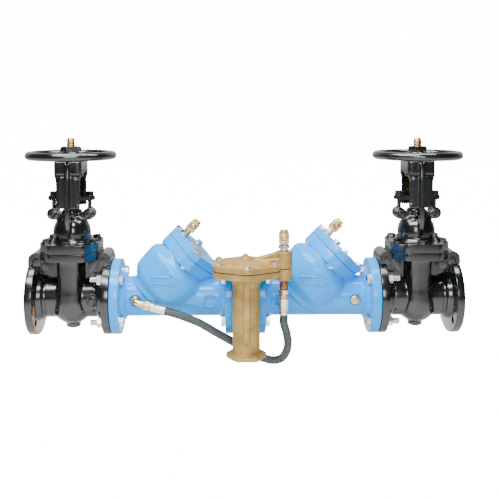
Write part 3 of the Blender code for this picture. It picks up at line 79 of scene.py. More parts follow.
# Sizes that more than one piece shares
FLANGE_R = 95.25
BORE_R = 38.1
BOLT_R = 76.2
BOLT_HOLE_R = 9.5
GATE_HALF = 101.6
GATE_FLANGE = 19.4  # thickness, with its nut's clearance
CHAMBER_X, CHAMBER_Y = 18.5, 46.5  # half sizes of the opening that the wedge rises through
EYE_X, EYE_Z = 45.0, 212.0  # swing pins of the gland's eye bolts
CHECK_LENGTH = 304.8
CHECK_FLANGE = 21.9  # thickness, with its nut's clearance
CHECK_AXIS = 91.0  # where the leaning axis crosses the pipe's
BOSS_IN = 60.0  # from a check's end to its front boss
COVER_TOP = 173.6
COVER_BOSS_X = -48.0
GASKET = 1.6
COCK_AXIS = 32.4  # a cock's stem above its foot
SIDE_BOSS_X = 90.0
RELIEF_BOLT_R = 76.0


# Camera ---------------------------------------------------------------

camera_data = bpy.data.cameras.new("camera")
camera_data.lens = 55.43
camera_data.sensor_width = 36.0
camera_data.shift_x = 0.00995
camera_data.shift_y = -0.16424
camera = bpy.data.objects.new("camera", camera_data)
camera.location = (0.4946, -1.9378, 0.4659)
camera.rotation_euler = (math.pi / 2 - 0.0721, 0.0, -0.0225)
bpy.context.scene.collection.objects.link(camera)
bpy.context.scene.camera = camera


# Finishes -------------------------------------------------------------

def linear(code):
    """An sRGB hex colour as linear red, green, blue and alpha."""
    parts = [int(code[i:i + 2], 16) / 255 for i in (1, 3, 5)]
    return (*[c / 12.92 if c <= 0.04045 else ((c + 0.055) / 1.055) ** 2.4 for c in parts], 1.0)


def node(tree, kind, inputs=None, **settings):
    """Adds a node, sets its properties, and sets or links its inputs."""
    made = tree.nodes.new(kind)
    for key, value in settings.items():
        setattr(made, key, value)
    for key, value in (inputs or {}).items():
        if isinstance(value, bpy.types.NodeSocket):
            tree.links.new(value, made.inputs[key])
        else:
            made.inputs[key].default_value = value
    return made


def finish(name, colour, **sockets):
    """A material with one Principled shader, whose single-valued sockets are set directly."""
    made = bpy.data.materials.new(name)
    made.use_nodes = True
    tree = made.node_tree
    shader = tree.nodes["Principled BSDF"]
    shader.inputs["Base Color"].default_value = linear(colour)
    for key, value in sockets.items():
        shader.inputs[key.replace("_", " ")].default_value = value
    made.diffuse_color = linear(colour)
    return made, tree, shader, node(tree, "ShaderNodeTexCoord").outputs["Object"]


def grain(tree, place, size, detail=3.0, roughness=0.5):
    """Noise whose blotches are about size millimetres across."""
    return node(tree, "ShaderNodeTexNoise", {"Vector": place, "Scale": 1000.0 / size / 2.0, "Detail": detail,
                                             "Roughness": roughness}).outputs["Fac"]


def ramp(tree, factor, stops):
    """Colours by factor; a stop is a place and an sRGB colour or a grey level."""
    made = node(tree, "ShaderNodeValToRGB", {"Fac": factor})
    line = made.color_ramp
    while len(line.elements) < len(stops):
        line.elements.new(0.5)
    for element, (at, value) in zip(line.elements, stops):
        element.position = at
        element.color = linear(value) if isinstance(value, str) else (value, value, value, 1.0)
    return made.outputs["Color"]


def surface(name, colour, rough, layers, tone=None, **sockets):
    """A finish whose roughness, colour and skin follow noise.

    Noise is (size in millimetres, detail, roughness). rough and tone are (noise, stops), and a
    layer of the skin is (noise, strength, depth in millimetres).
    """
    made, tree, shader, place = finish(name, colour, **sockets)
    for socket, pattern in (("Base Color", tone), ("Roughness", rough)):
        if pattern:
            tree.links.new(ramp(tree, grain(tree, place, *pattern[0]), pattern[1]), shader.inputs[socket])
    normal = None
    for noise, strength, depth in layers:
        inputs = {"Height": grain(tree, place, *noise), "Strength": strength, "Distance": depth / 1000.0}
        if normal is not None:
            inputs["Normal"] = normal
        normal = node(tree, "ShaderNodeBump", inputs).outputs["Normal"]
    tree.links.new(normal, shader.inputs["Normal"])
    return made


def sand_cast_bronze():
    """Bronze left as it came from the mould: tan, matt and grainy, darker in its hollows."""
    blotch, sand = (18.0, 4.0), (1.1, 5.0, 0.65)
    made = surface("sand_cast_bronze", "#C3AB7F", (sand, ((0.3, 0.62), (0.7, 0.44))),
                   ((blotch, 0.12, 1.2), (sand, 0.45, 0.4)), Metallic=0.45)
    tree = made.node_tree
    place = node(tree, "ShaderNodeTexCoord").outputs["Object"]
    tone = ramp(tree, grain(tree, place, *blotch), ((0.3, "#94743A"), (0.5, "#A68748"), (0.72, "#B79A58")))
    speck = ramp(tree, grain(tree, place, *sand), ((0.28, 0.62), (0.46, 1.0)))
    mixed = node(tree, "ShaderNodeMix", {0: 1.0, 6: tone, 7: speck}, data_type="RGBA", blend_type="MULTIPLY")
    tree.links.new(mixed.outputs[2], tree.nodes["Principled BSDF"].inputs["Base Color"])
    return made


def metal(name, colour, roughness, tarnish):
    """Turned or plated metal: fine tool lines and a thin, uneven tarnish."""
    cloud, lines = (9.0, 4.0), (0.6, 2.0)
    return surface(name, colour, (cloud, ((0.3, roughness + 0.14), (0.7, roughness))), ((lines, 0.10, 0.12),),
                   (cloud, ((0.35, tarnish), (0.6, colour))), Metallic=1.0)


def matt(name, colour, roughness, size, depth=0.2):
    """A matt stuff with a coarse nap."""
    nap = (size, 4.0)
    return surface(name, colour, (nap, ((0.3, roughness + 0.1), (0.7, roughness))), ((nap, 0.3, depth),))


SWELL, SAND = (14.0,), (3.0, 2.0)
WIDE_SWELL, PEEL = (30.0,), (2.4, 2.0)
DUST, CLOTH = (22.0, 4.0), (1.4, 3.0)

# Near-black gloss, with soft highlights that the casting's uneven skin breaks up
BLACK = surface("black_enamel_on_cast_iron", "#0A0B0C", (SWELL, ((0.35, 0.17), (0.65, 0.25))),
                ((SWELL, 0.14, 1.2), (SAND, 0.09, 0.2)), (SWELL, ((0.35, "#0A0D0D"), (0.65, "#101414"))),
                IOR=1.55, Coat_Weight=0.55, Coat_Roughness=0.12)
# Sky blue powder coat, smooth and glossy, with a faint orange peel in its highlights
BLUE = surface("blue_epoxy_coat", "#0098EE", (PEEL, ((0.3, 0.14), (0.7, 0.20))),
               ((WIDE_SWELL, 0.10, 1.2), (PEEL, 0.04, 0.12)),
               (WIDE_SWELL, ((0.3, "#0094EA"), (0.7, "#009EF2"))), IOR=1.33, Coat_Weight=0.14,
               Coat_Roughness=0.06)
# Tan and grainy, hardly shining
BRONZE = sand_cast_bronze()
# Pale straw yellow, bright along the turned edges
BRASS = metal("turned_brass", "#E3C98F", 0.26, "#CDAF72")
# Golden thread crests over browner, oily roots
STEM_BRONZE = metal("oiled_stem_bronze", "#D0A862", 0.24, "#A98445")
# Almost white, with sharp grey facets
ZINC = metal("bright_zinc_plate", "#E6E8EA", 0.22, "#CFD2D4")
# Plain mid-grey shine
STEEL = metal("stainless_steel", "#B9BCBE", 0.26, "#9DA0A3")
# Warm white sleeves with a broad soft highlight
NICKEL = metal("nickel_plated_ferrule", "#F1EFEA", 0.24, "#DEDAD2")
# Reddish brown, dulled
COPPER = metal("red_copper_alloy", "#B97C60", 0.34, "#8E5A44")
# Cool silvery sheet, evenly dulled
PLATE = metal("anodised_aluminium_plate", "#C9CCD2", 0.34, "#B4B8BF")
# Sooty black braid
GRAPHITE = matt("braided_graphite", "#1B1C1E", 0.6, 2.0)
# A thin charcoal line between the flanges
SHEET = matt("fibre_gasket_sheet", "#26282A", 0.75, 0.8)
# Smooth dark grey with the faint print of the cloth it was cured in
RUBBER = surface("rubber_hose_cover", "#5A6264", (DUST, ((0.3, 0.36), (0.7, 0.52))), ((CLOTH, 0.18, 0.25),),
                 (DUST, ((0.3, "#2E3536"), (0.7, "#3F4748"))))
# Thick burnt-orange brush dabs
DAB = matt("orange_inspection_paint", "#C97B2B", 0.5, 3.0, 0.5)


# Shape tools ----------------------------------------------------------

def put(name, mesh, material=None):
    made = bpy.data.objects.new(name, mesh)
    bpy.context.scene.collection.objects.link(made)
    if material is not None:
        mesh.materials.clear()
        mesh.materials.append(material)
    return made


def remove(shapes):
    for shape in shapes:
        bpy.data.objects.remove(shape, do_unlink=True)


def smoothed(mesh, sharp):
    """Smooth shading that breaks at edges sharper than an angle in degrees."""
    mesh.shade_smooth()
    mesh.set_sharp_from_angle(angle=math.radians(sharp))


def from_bmesh(shape, material, sharp=38.0):
    bmesh.ops.recalc_face_normals(shape, faces=shape.faces)
    mesh = bpy.data.meshes.new("shape")
    shape.to_mesh(mesh)
    shape.free()
    smoothed(mesh, sharp)
    return put("shape", mesh, material)


def rounded(points, radius=0.0, closed=False, steps=4):
    """A line of points with its corners rounded; a third number is a corner's own radius."""
    count = len(points)
    line = []
    for i, point in enumerate(points):
        here = Vector(point[:2])
        own = point[2] if len(point) > 2 else radius
        before = Vector(points[i - 1][:2]) - here
        after = Vector(points[(i + 1) % count][:2]) - here
        reach = min(own, before.length * 0.48, after.length * 0.48)
        if own <= 0 or reach < 0.05 or (not closed and i in (0, count - 1)):
            line.append(here)
            continue
        start = here + before.normalized() * reach
        end = here + after.normalized() * reach
        for k in range(steps + 1):
            t = k / steps
            line.append(start * (1 - t) ** 2 + here * 2 * t * (1 - t) + end * t * t)
    return [tuple(p) for p in line]


def ring_points(count, radius, start=0.0, height=0.0):
    turns = [start + 2 * math.pi * i / count for i in range(count)]
    return [(radius * math.cos(a), radius * math.sin(a), height) for a in turns]


def lathe(profile, material=None, sides=72, closed=False):
    """A turned shape about Z from points of (radius, height). A closed profile makes a ring."""
    shape = bmesh.new()
    rings = []
    for radius, height in profile:
        points = [(0, 0, height)] if radius < 1e-6 else ring_points(sides, radius, 0.0, height)
        rings.append([shape.verts.new(p) for p in points])
    pairs = list(zip(rings, rings[1:]))
    if closed:
        pairs.append((rings[-1], rings[0]))
    for a, b in pairs:
        for k in range(sides):
            n = (k + 1) % sides
            corners = list(dict.fromkeys((a[k % len(a)], a[n % len(a)], b[n % len(b)], b[k % len(b)])))
            if len(corners) > 2:
                shape.faces.new(corners)
    if not closed:
        for ring in (rings[0], rings[-1]):
            if len(ring) > 1:
                shape.faces.new(ring)
    return from_bmesh(shape, material)


def turned(points, radius, material=None, sides=72, closed=False, steps=4):
    """A lathe shape whose profile has rounded corners."""
    return lathe(rounded(points, radius, closed, steps), material, sides, closed)


def rod(radius, low, high, material=None, sides=48, edge=0.0):
    """A round bar along Z with rounded ends."""
    return turned([(0, high), (radius, high, edge), (radius, low, edge), (0, low)], 0, material, sides,
                  steps=3)


def tube_ring(outer, inner, low, high, material=None, edge=0.8, sides=48):
    return turned([(inner, high), (outer, high), (outer, low), (inner, low)], edge, material, sides, True, 2)


def skinned(shape, rings, material, sharp=38.0):
    """Closes a row of equal rings into one body."""
    for a, b in zip(rings, rings[1:]):
        for k in range(len(a)):
            n = (k + 1) % len(a)
            shape.faces.new((a[k], a[n], b[n], b[k]))
    shape.faces.new(rings[0])
    shape.faces.new(rings[-1])
    return from_bmesh(shape, material, sharp)


def smooth_line(knots, steps):
    """Points on a Catmull-Rom curve through the knots."""
    knots = [Vector(k) for k in knots]
    padded = [2 * knots[0] - knots[1], *knots, 2 * knots[-1] - knots[-2]]
    line = []
    for a, b, c, d in zip(padded, padded[1:], padded[2:], padded[3:]):
        for i in range(steps):
            t = i / steps
            line.append(0.5 * (2 * b + (c - a) * t + (2 * a - 5 * b + 4 * c - d) * t * t
                               + (3 * b - a - 3 * c + d) * t * t * t))
    return [*line, knots[-1]]


def loft(levels, material, sides=72):
    """A body along Z through levels of (height, half width, half depth, squareness)."""
    shape = bmesh.new()
    rings = []
    for height, across, deep, square in smooth_line(levels, 4):
        rings.append([shape.verts.new((across * math.copysign(abs(c) ** (2 / square), c),
                                       deep * math.copysign(abs(s) ** (2 / square), s), height)) for c, s,
                      _ in ring_points(sides, 1.0)])
    return skinned(shape, rings, material)


def prism(outline, low, high, material=None, edge=0.0, segments=2):
    """A flat outline given thickness along Z, with its rims rounded by edge."""
    shape = bmesh.new()
    bottom = [shape.verts.new((x, y, low)) for x, y in outline]
    top = [shape.verts.new((x, y, high)) for x, y in outline]
    count = len(outline)
    lid = shape.faces.new(top)
    base = shape.faces.new(list(reversed(bottom)))
    for i in range(count):
        shape.faces.new((bottom[i], bottom[(i + 1) % count], top[(i + 1) % count], top[i]))
    if edge:
        rims = list(lid.edges) + list(base.edges)
        bmesh.ops.bevel(shape, geom=rims, offset=edge, segments=segments, profile=0.6, affect="EDGES")
    return from_bmesh(shape, material)


def box(low, high, material=None, edge=0.0, corner=0.0):
    """A box with rounded rims; corner also rounds its upright edges."""
    outline = [(low[0], low[1]), (high[0], low[1]), (high[0], high[1]), (low[0], high[1])]
    if corner:
        outline = rounded(outline, corner, True, 5)
    return prism(outline, low[2], high[2], material, edge)


def ball(radii, material):
    shape = bmesh.new()
    bmesh.ops.create_uvsphere(shape, u_segments=40, v_segments=24, radius=1.0)
    bmesh.ops.transform(shape, matrix=Matrix.Diagonal((*radii, 1.0)), verts=shape.verts)
    return from_bmesh(shape, material)


def sweep(points, radius, material, sides=16, closed=False):
    """A round bar along points."""
    curve = bpy.data.curves.new("line", "CURVE")
    curve.dimensions = "3D"
    curve.bevel_depth = radius
    curve.bevel_resolution = sides // 4
    curve.use_fill_caps = True
    spline = curve.splines.new("POLY")
    spline.points.add(len(points) - 1)
    for point, place in zip(spline.points, points):
        point.co = (*place, 1.0)
    spline.use_cyclic_u = closed
    line = put("line", curve)
    mesh = bpy.data.meshes.new_from_object(line.evaluated_get(bpy.context.evaluated_depsgraph_get()))
    remove([line])
    shape = bmesh.new()
    shape.from_mesh(mesh)
    bmesh.ops.remove_doubles(shape, verts=shape.verts, dist=0.001)
    return from_bmesh(shape, material)


def shift(x, y=0, z=0):
    return Matrix.Translation((x, y, z))


def moved(piece, *steps):
    """Turns and shifts a shape: matrices apply from last to first, and a tuple is a shift."""
    matrix = Matrix.Identity(4)
    for step in steps:
        matrix = matrix @ (step if isinstance(step, Matrix) else Matrix.Translation(step))
    piece.data.transform(matrix)
    return piece


def along_x(piece, *steps):
    return moved(piece, *steps, UP_TO_X)


def to_front(piece, *steps):
    return moved(piece, *steps, UP_TO_FRONT)


def mirrored(side, points):
    """The points on one side of a valve's middle: side is -1 for the left."""
    return [(side * x, *rest) for x, *rest in points]


def baked(piece, material, sharp=38.0):
    """The piece as a plain mesh, with its modifiers applied."""
    mesh = bpy.data.meshes.new_from_object(piece.evaluated_get(bpy.context.evaluated_depsgraph_get()))
    piece.modifiers.clear()
    old = piece.data
    piece.data = mesh
    bpy.data.meshes.remove(old)
    mesh.materials.clear()
    mesh.materials.append(material)
    smoothed(mesh, sharp)
    return piece


def merged(name, shapes):
    """Shapes as one object that keeps their materials."""
    shape = bmesh.new()
    materials = list(dict.fromkeys(part.data.materials[0] for part in shapes))
    for part in shapes:
        start = len(shape.faces)
        shape.from_mesh(part.data)
        shape.faces.ensure_lookup_table()
        for face in shape.faces[start:]:
            face.material_index = materials.index(part.data.materials[0])
    mesh = bpy.data.meshes.new(name)
    shape.to_mesh(mesh)
    shape.free()
    for material in materials:
        mesh.materials.append(material)
    remove(shapes)
    return put(name, mesh)


def carve(piece, adds, cuts, material, sharp=38.0):
    """Joins and cuts shapes, and keeps their edges crisp."""
    for operation, others in (("UNION", adds), ("DIFFERENCE", cuts)):
        for other in others:
            step = piece.modifiers.new(operation.lower(), "BOOLEAN")
            step.operation = operation
            step.object = other
            step.solver = "EXACT"
    baked(piece, material, sharp)
    remove([*adds, *cuts])
    return piece


def cast(piece, adds, cuts, material, voxel, passes, after=()):
    """Joins shapes into one casting with the soft fillets a mould gives. Cuts in after stay crisp."""
    carve(piece, adds, cuts, material)
    skin = piece.modifiers.new("skin", "REMESH")
    skin.mode = "VOXEL"
    skin.voxel_size = voxel
    soften = piece.modifiers.new("soften", "SMOOTH")
    soften.factor = 0.5
    soften.iterations = passes
    baked(piece, material, 60.0)
    return carve(piece, (), after, material, 50.0) if after else piece


FLANGE_BOLTS = ring_points(4, BOLT_R, math.pi / 4)
COVER_BOLTS = ring_points(4, 67.0)


def hexagon(radius, turn=0.0):
    return [(x, y) for x, y, _ in ring_points(6, radius, turn)]


def octagon(half_a, half_b, flat_a, flat_b):
    return [(half_a, -flat_b), (half_a, flat_b), (flat_a, half_b), (-flat_a, half_b), (-half_a, flat_b),
            (-half_a, -flat_b), (-flat_a, -half_b), (flat_a, -half_b)]


# Repeated pieces, in Geometry Nodes -----------------------------------

def new_tree(name, inputs):
    tree = bpy.data.node_groups.new(name, "GeometryNodeTree")
    tree.interface.new_socket("Geometry", in_out="INPUT", socket_type="NodeSocketGeometry")
    for label, kind, value in inputs:
        made = tree.interface.new_socket(label, in_out="INPUT", socket_type="NodeSocket" + kind)
        if value is not None:
            made.default_value = value
    tree.interface.new_socket("Geometry", in_out="OUTPUT", socket_type="NodeSocketGeometry")
    return tree, node(tree, "NodeGroupInput").outputs


def maths(tree, operation, a, b=0.0):
    return node(tree, "ShaderNodeMath", {0: a, 1: b}, operation=operation).outputs[0]


def end_tree(tree, geometry, material):
    real = node(tree, "GeometryNodeRealizeInstances", {"Geometry": geometry}).outputs["Geometry"]
    painted = node(tree, "GeometryNodeSetMaterial", {"Geometry": real, "Material": material})
    node(tree, "NodeGroupOutput", {"Geometry": painted.outputs["Geometry"]})


def fastener_tree():
    """One fastener at every point, each turned a little, as they are left by the wrench."""
    tree, given = new_tree("fasteners", (("Fastener", "Object", None), ("Most Turn", "Float", 0.45),
                                         ("Seed", "Int", 1), ("Material", "Material", None)))
    one = node(tree, "GeometryNodeObjectInfo", {"Object": given["Fastener"]}).outputs["Geometry"]
    least = maths(tree, "MULTIPLY", given["Most Turn"], -1.0)
    spin = node(tree, "FunctionNodeRandomValue", {2: least, 3: given["Most Turn"], "Seed": given["Seed"]},
                data_type="FLOAT").outputs[1]
    turn = node(tree, "ShaderNodeCombineXYZ", {"Z": spin}).outputs[0]
    copies = node(tree, "GeometryNodeInstanceOnPoints", {"Points": given["Geometry"], "Instance": one,
                                                         "Rotation": turn}).outputs["Instances"]
    end_tree(tree, copies, given["Material"])
    return tree


def spoke_tree():
    """Copies of one spoke, evenly round the wheel."""
    tree, given = new_tree("wheel_spokes", (("Count", "Int", 5), ("First Angle", "Float", 0.0),
                                            ("Material", "Material", None)))
    points = node(tree, "GeometryNodePoints", {"Count": given["Count"]}).outputs["Points"]
    index = node(tree, "GeometryNodeInputIndex").outputs[0]
    step = maths(tree, "DIVIDE", 2 * math.pi, given["Count"])
    angle = maths(tree, "ADD", maths(tree, "MULTIPLY", index, step), given["First Angle"])
    turn = node(tree, "ShaderNodeCombineXYZ", {"Z": angle}).outputs[0]
    copies = node(tree, "GeometryNodeInstanceOnPoints", {"Points": points, "Instance": given["Geometry"],
                                                         "Rotation": turn})
    end_tree(tree, copies.outputs["Instances"], given["Material"])
    return tree


FASTENERS = fastener_tree()
SPOKES = spoke_tree()


def grown(piece, tree, values, material, sharp=38.0):
    """Runs a tree on the piece, and keeps the result as a plain mesh."""
    step = piece.modifiers.new(tree.name, "NODES")
    step.node_group = tree
    for item in tree.interface.items_tree:
        if item.in_out == "INPUT" and item.name in values:
            step[item.identifier] = values[item.name]
    return baked(piece, material, sharp)


def hex_shape(flats, height, material):
    """A hexagon standing on the origin, its upper corners turned off at 30 degrees."""
    half = flats / 2
    face = 0.93 * half
    shape = bmesh.new()
    low, high, top = [], [], []
    for k in range(36):
        angle = math.radians(10 * k)
        reach = half / math.cos((angle + math.pi / 6) % (math.pi / 3) - math.pi / 6)
        c, s = math.cos(angle), math.sin(angle)
        low.append(shape.verts.new((reach * c, reach * s, 0)))
        high.append(shape.verts.new((reach * c, reach * s, height - (reach - face) * 0.577)))
        top.append(shape.verts.new((face * c, face * s, height)))
    return skinned(shape, (low, high, top), material, 25.0)


def hexes(places, flats, height, material, washer=(0.0, 0.0), shank=(5.0, 10.0, 0.0), seed=1, turn=0.45):
    """Hexagons standing up along Z at places, each with its washer and shank."""
    parts = [moved(hex_shape(flats, height, material), (0, 0, washer[1]))]
    if washer[0]:
        parts.append(rod(washer[0], -0.02, washer[1] + 0.05, material, 40, 0.3))
    if shank[1] + shank[2] > 0:
        parts.append(rod(shank[0], -shank[1], washer[1] + height + shank[2], material, 24, 0.8))
    one = merged("fastener", parts)
    mesh = bpy.data.meshes.new("fastener_places")
    mesh.from_pydata([tuple(p) for p in places], [], [])
    made = grown(put("fasteners", mesh), FASTENERS, {"Fastener": one, "Most Turn": turn, "Seed": seed,
                                                     "Material": material}, material, 25.0)
    remove([one])
    return made


def screw_thread(radius, pitch, depth, low, high, material, hand, sides, rows):
    """A round bar along Z whose skin is a helical thread; hand is -1 for a left-hand thread."""
    shape = bmesh.new()
    count = max(2, round((high - low) / pitch * rows))
    rings = []
    for i in range(count + 1):
        z = low + (high - low) * i / count
        fade = min(1.0, (z - low) / pitch, (high - z) / pitch)
        ring = []
        for k in range(sides):
            phase = (z / pitch - hand * k / sides) % 1.0
            crest = min(1.0, max(0.0, 2.0 - 4.0 * abs(phase - 0.5)))
            r = radius - depth * (1.0 - crest) * fade - depth * (1.0 - fade)
            a = 2 * math.pi * k / sides
            ring.append(shape.verts.new((r * math.cos(a), r * math.sin(a), z)))
        rings.append(ring)
    return skinned(shape, rings, material, 50.0)


def whole(name, shapes, stands_for, place=None, body="assembly"):
    """Makes shapes one finished piece in metres, which rides on a body and stands for a CAD node."""
    made = merged(name, shapes)
    made.data.transform(METRES @ (place or Matrix.Identity(4)))
    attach(made, body)
    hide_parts(stands_for)
    return made


def again(piece):
    """A second copy of a shape, for the other valve."""
    return put("shape", piece.data.copy())


# The hose -------------------------------------------------------------

HOSE_R = 10.0
ELBOW_DROP = math.radians(16.5)
ALONG = Vector((math.cos(ELBOW_DROP), 0, -math.sin(ELBOW_DROP)))
ELBOW_CORNER = Vector((CHECK_START[1] + BOSS_IN, -75.0, 2.0))
ELBOW_END = ELBOW_CORNER + ALONG * 25.3
HOSE_START = ELBOW_END + ALONG * 53.3
DOWN = Vector((0, 0, -1))
NIPPLE_TOP = Vector((CENTRE_X + SIDE_BOSS_X, RELIEF_Y, 67.0))
SWIVEL_TOP = NIPPLE_TOP + DOWN * 22.6
HOSE_END = SWIVEL_TOP + DOWN * 61.3
HOSE_ROUTE = ((-150, -74.5, -36), (-113, -73, -52), (-72, -70, -77), (-32, -66, -101), (4, -62, -123),
              (38, -63, -141), (66, -71, -146.5), (88, -84, -137), (100, -99, -112), (101, -111, -81))


def hose():
    knots = [HOSE_START + ALONG * s for s in (0.0, HOSE_R, 2 * HOSE_R)]
    knots += [Vector((CENTRE_X + x, y, z)) for x, y, z in HOSE_ROUTE]
    knots += [HOSE_END + DOWN * s for s in (2 * HOSE_R, HOSE_R, 0.0)]
    route = smooth_line(knots, 5)
    piece = whole("pressure_sensing_hose", [sweep(route, HOSE_R, RUBBER, 28)], "sensing_hose")


hose()


# Gate valve -----------------------------------------------------------

def gate_flanges():
    """End flanges, bells and the port pipe, bored through, with open bolt holes."""
    ring = turned([(FLANGE_R, GATE_HALF, 1.6), (FLANGE_R, 82.6, 2.0), (60.5, 82.6, 4.0), (58.5, 69.5, 3.0),
                   (52.0, 66.0, 3.0), (51.5, 60.0), (51.5, -60.0), (52.0, -66.0, 3.0), (58.5, -69.5, 3.0),
                   (60.5, -82.6, 4.0), (FLANGE_R, -82.6, 2.0), (FLANGE_R, -GATE_HALF, 1.6),
                   (BORE_R, -GATE_HALF, 1.0), (BORE_R, -18.5), (47.5, -18.5), (47.5, 18.5), (BORE_R, 18.5),
                   (BORE_R, GATE_HALF, 1.0)], 0, BLACK, 112, True, 3)
    holes = [moved(rod(BOLT_HOLE_R, low, low + 30, sides=24), (x, y, 0)) for x, y, _ in FLANGE_BOLTS
             for low in (76, -106)]
    carve(ring, (), holes, BLACK)
    along_x(ring)
    return carve(ring, (), [box((-CHAMBER_X, -CHAMBER_Y, 0), (CHAMBER_X, CHAMBER_Y, 60))], BLACK)


def ear_outline(side):
    """The arched strap from the bonnet flange over to the top of an end flange."""
    line = [(62, 103), (71, 112), (79, 118), (91, 117.6), (98.5, 111), (101.0, 99), (101.0, 85), (92.5, 85),
            (92.0, 99), (88.5, 107.0), (81, 108.5), (75, 104), (70, 96), (62, 92)]
    return rounded(mirrored(side, line), 5.0, True, 4)


def gate_casting():
    """Neck, bulb, drain boss and the ears, in one sand casting that is hollow for the wedge."""
    neck = loft(((108, 36, 63.5, 3.8), (101, 36, 63.5, 3.8), (95, 33, 61, 3.6), (60, 33, 60.5, 3.4),
                 (30, 34.5, 61, 3.1), (8, 40, 62.5, 2.7), (-14, 49, 63, 2.35), (-34, 50, 58, 2.15),
                 (-52, 38, 44, 2), (-64, 22, 26, 2), (-69, 14, 16, 2)), BLACK)
    adds = [along_x(rod(51.9, -64, 64, sides=64)), rod(18.5, -77, -40, sides=40),
            rod(13.0, -79, -60, sides=40)]
    crisp = []
    for side in (-1, 1):
        shoulder = prism(mirrored(side, ((20, 44), (84, 60), (90, 96), (84, 108), (66, 108), (20, 104))), -17,
                         17)
        adds.append(to_front(shoulder))
        crisp.append(to_front(prism(ear_outline(side), -43, 43, BLACK, 2.2, segments=3)))
        for low, high in ((16, 42), (-42, -16)):
            web = prism(rounded(mirrored(side, ((46, 103), (73, 103), (73, 90), (60, 69), (52, 69),
                                                (46, 82))), 3, True, 3), low, high, BLACK, 1.6)
            crisp.append(to_front(web))
            brace = prism(mirrored(side, ((60, 104), (88, 112), (97, 100), (97, 84), (86, 80), (60, 92))),
                          low * 0.9, high * 0.9, BLACK, 1.2)
            crisp.append(to_front(brace))
    turns = [math.pi * (1 + i / 24) for i in range(25)]
    round_end = [(47.2 * math.cos(a), 47.2 * math.sin(a)) for a in turns]
    chamber = moved(prism([(47.2, 140), (-47.2, 140), *round_end], -18.6, 18.6), X_TO_SIDE)
    bore = along_x(rod(41.5, -120, 120, sides=64), (0, 0, 0.03))
    body = cast(neck, adds, [chamber], BLACK, 1.9, 10, [bore])
    beads = []
    for side in (-1, 1):
        for y in (-43.2, 43.2):
            outer = rounded(mirrored(side, ((71, 112), (79, 118), (91, 117.6), (98.5, 111), (101.0, 99),
                                            (101.0, 88))), 6, False, 5)
            beads.append(sweep([(x, y, z - 0.6) for x, z in outer], 1.1, BLACK, 8))
            inner = rounded(mirrored(side, ((72, 106), (80, 112), (90, 111.6), (94.5, 106), (96.0, 97),
                                            (96.0, 88))), 6, False, 5)
            beads.append(sweep([(x, y, z) for x, z in inner], 0.9, BLACK, 8))
            lug = math.copysign(42.2, y)
            beads.append(sweep([(side * 70.5, lug, 101), (side * 70.5, lug, 91.5), (side * 59, lug, 72),
                                (side * 52.5, lug, 72), (side * 48.5, lug, 82.5), (side * 48.5, lug, 101)],
                               1.0, BLACK, 8))
    return [body, *crisp, *beads]


BONNET_OUTLINE = rounded(octagon(73, 85, 42, 42), 7, True, 4)
BONNET_BOLTS = [(0, 73), (0, -73), (56, 38), (56, -38), (-56, 38), (-56, -38)]


def body_top_flange():
    top = prism(BONNET_OUTLINE, 101.8, 120.7, BLACK, 1.4)
    return carve(top, (), [box((-CHAMBER_X, -CHAMBER_Y, 90), (CHAMBER_X, CHAMBER_Y, 130))], BLACK)


def gate_body(number):
    place = shift(GATE_X[number])
    shapes = [again(s) for s in GATE_BODY_SHAPES]
    if number == 1:
        shapes.append(to_front(turned([(0, 57.0), (9.4, 57.0), (10.2, 55.2), (12.6, 55.2), (14.6, 56.8, 1.2),
                                       (15.6, 46.0, 2), (18, 40), (0, 40)], 0.8, BLACK), (57, 0, 1)))
        for size, y, z in (((6.0, 17, 0.8), -74, -24), ((4.0, 12, 0.9), -72, -48), ((3.0, 9, 0.8), -66, -62)):
            dab = to_front(ball(size, DAB))
            shapes.append(moved(dab, (-82.4, y, z), Matrix.Rotation(math.pi / 2, 4, "Z")))
    whole(f"gate_{number}_body_casting", shapes, f"gate_{number}_body", place)


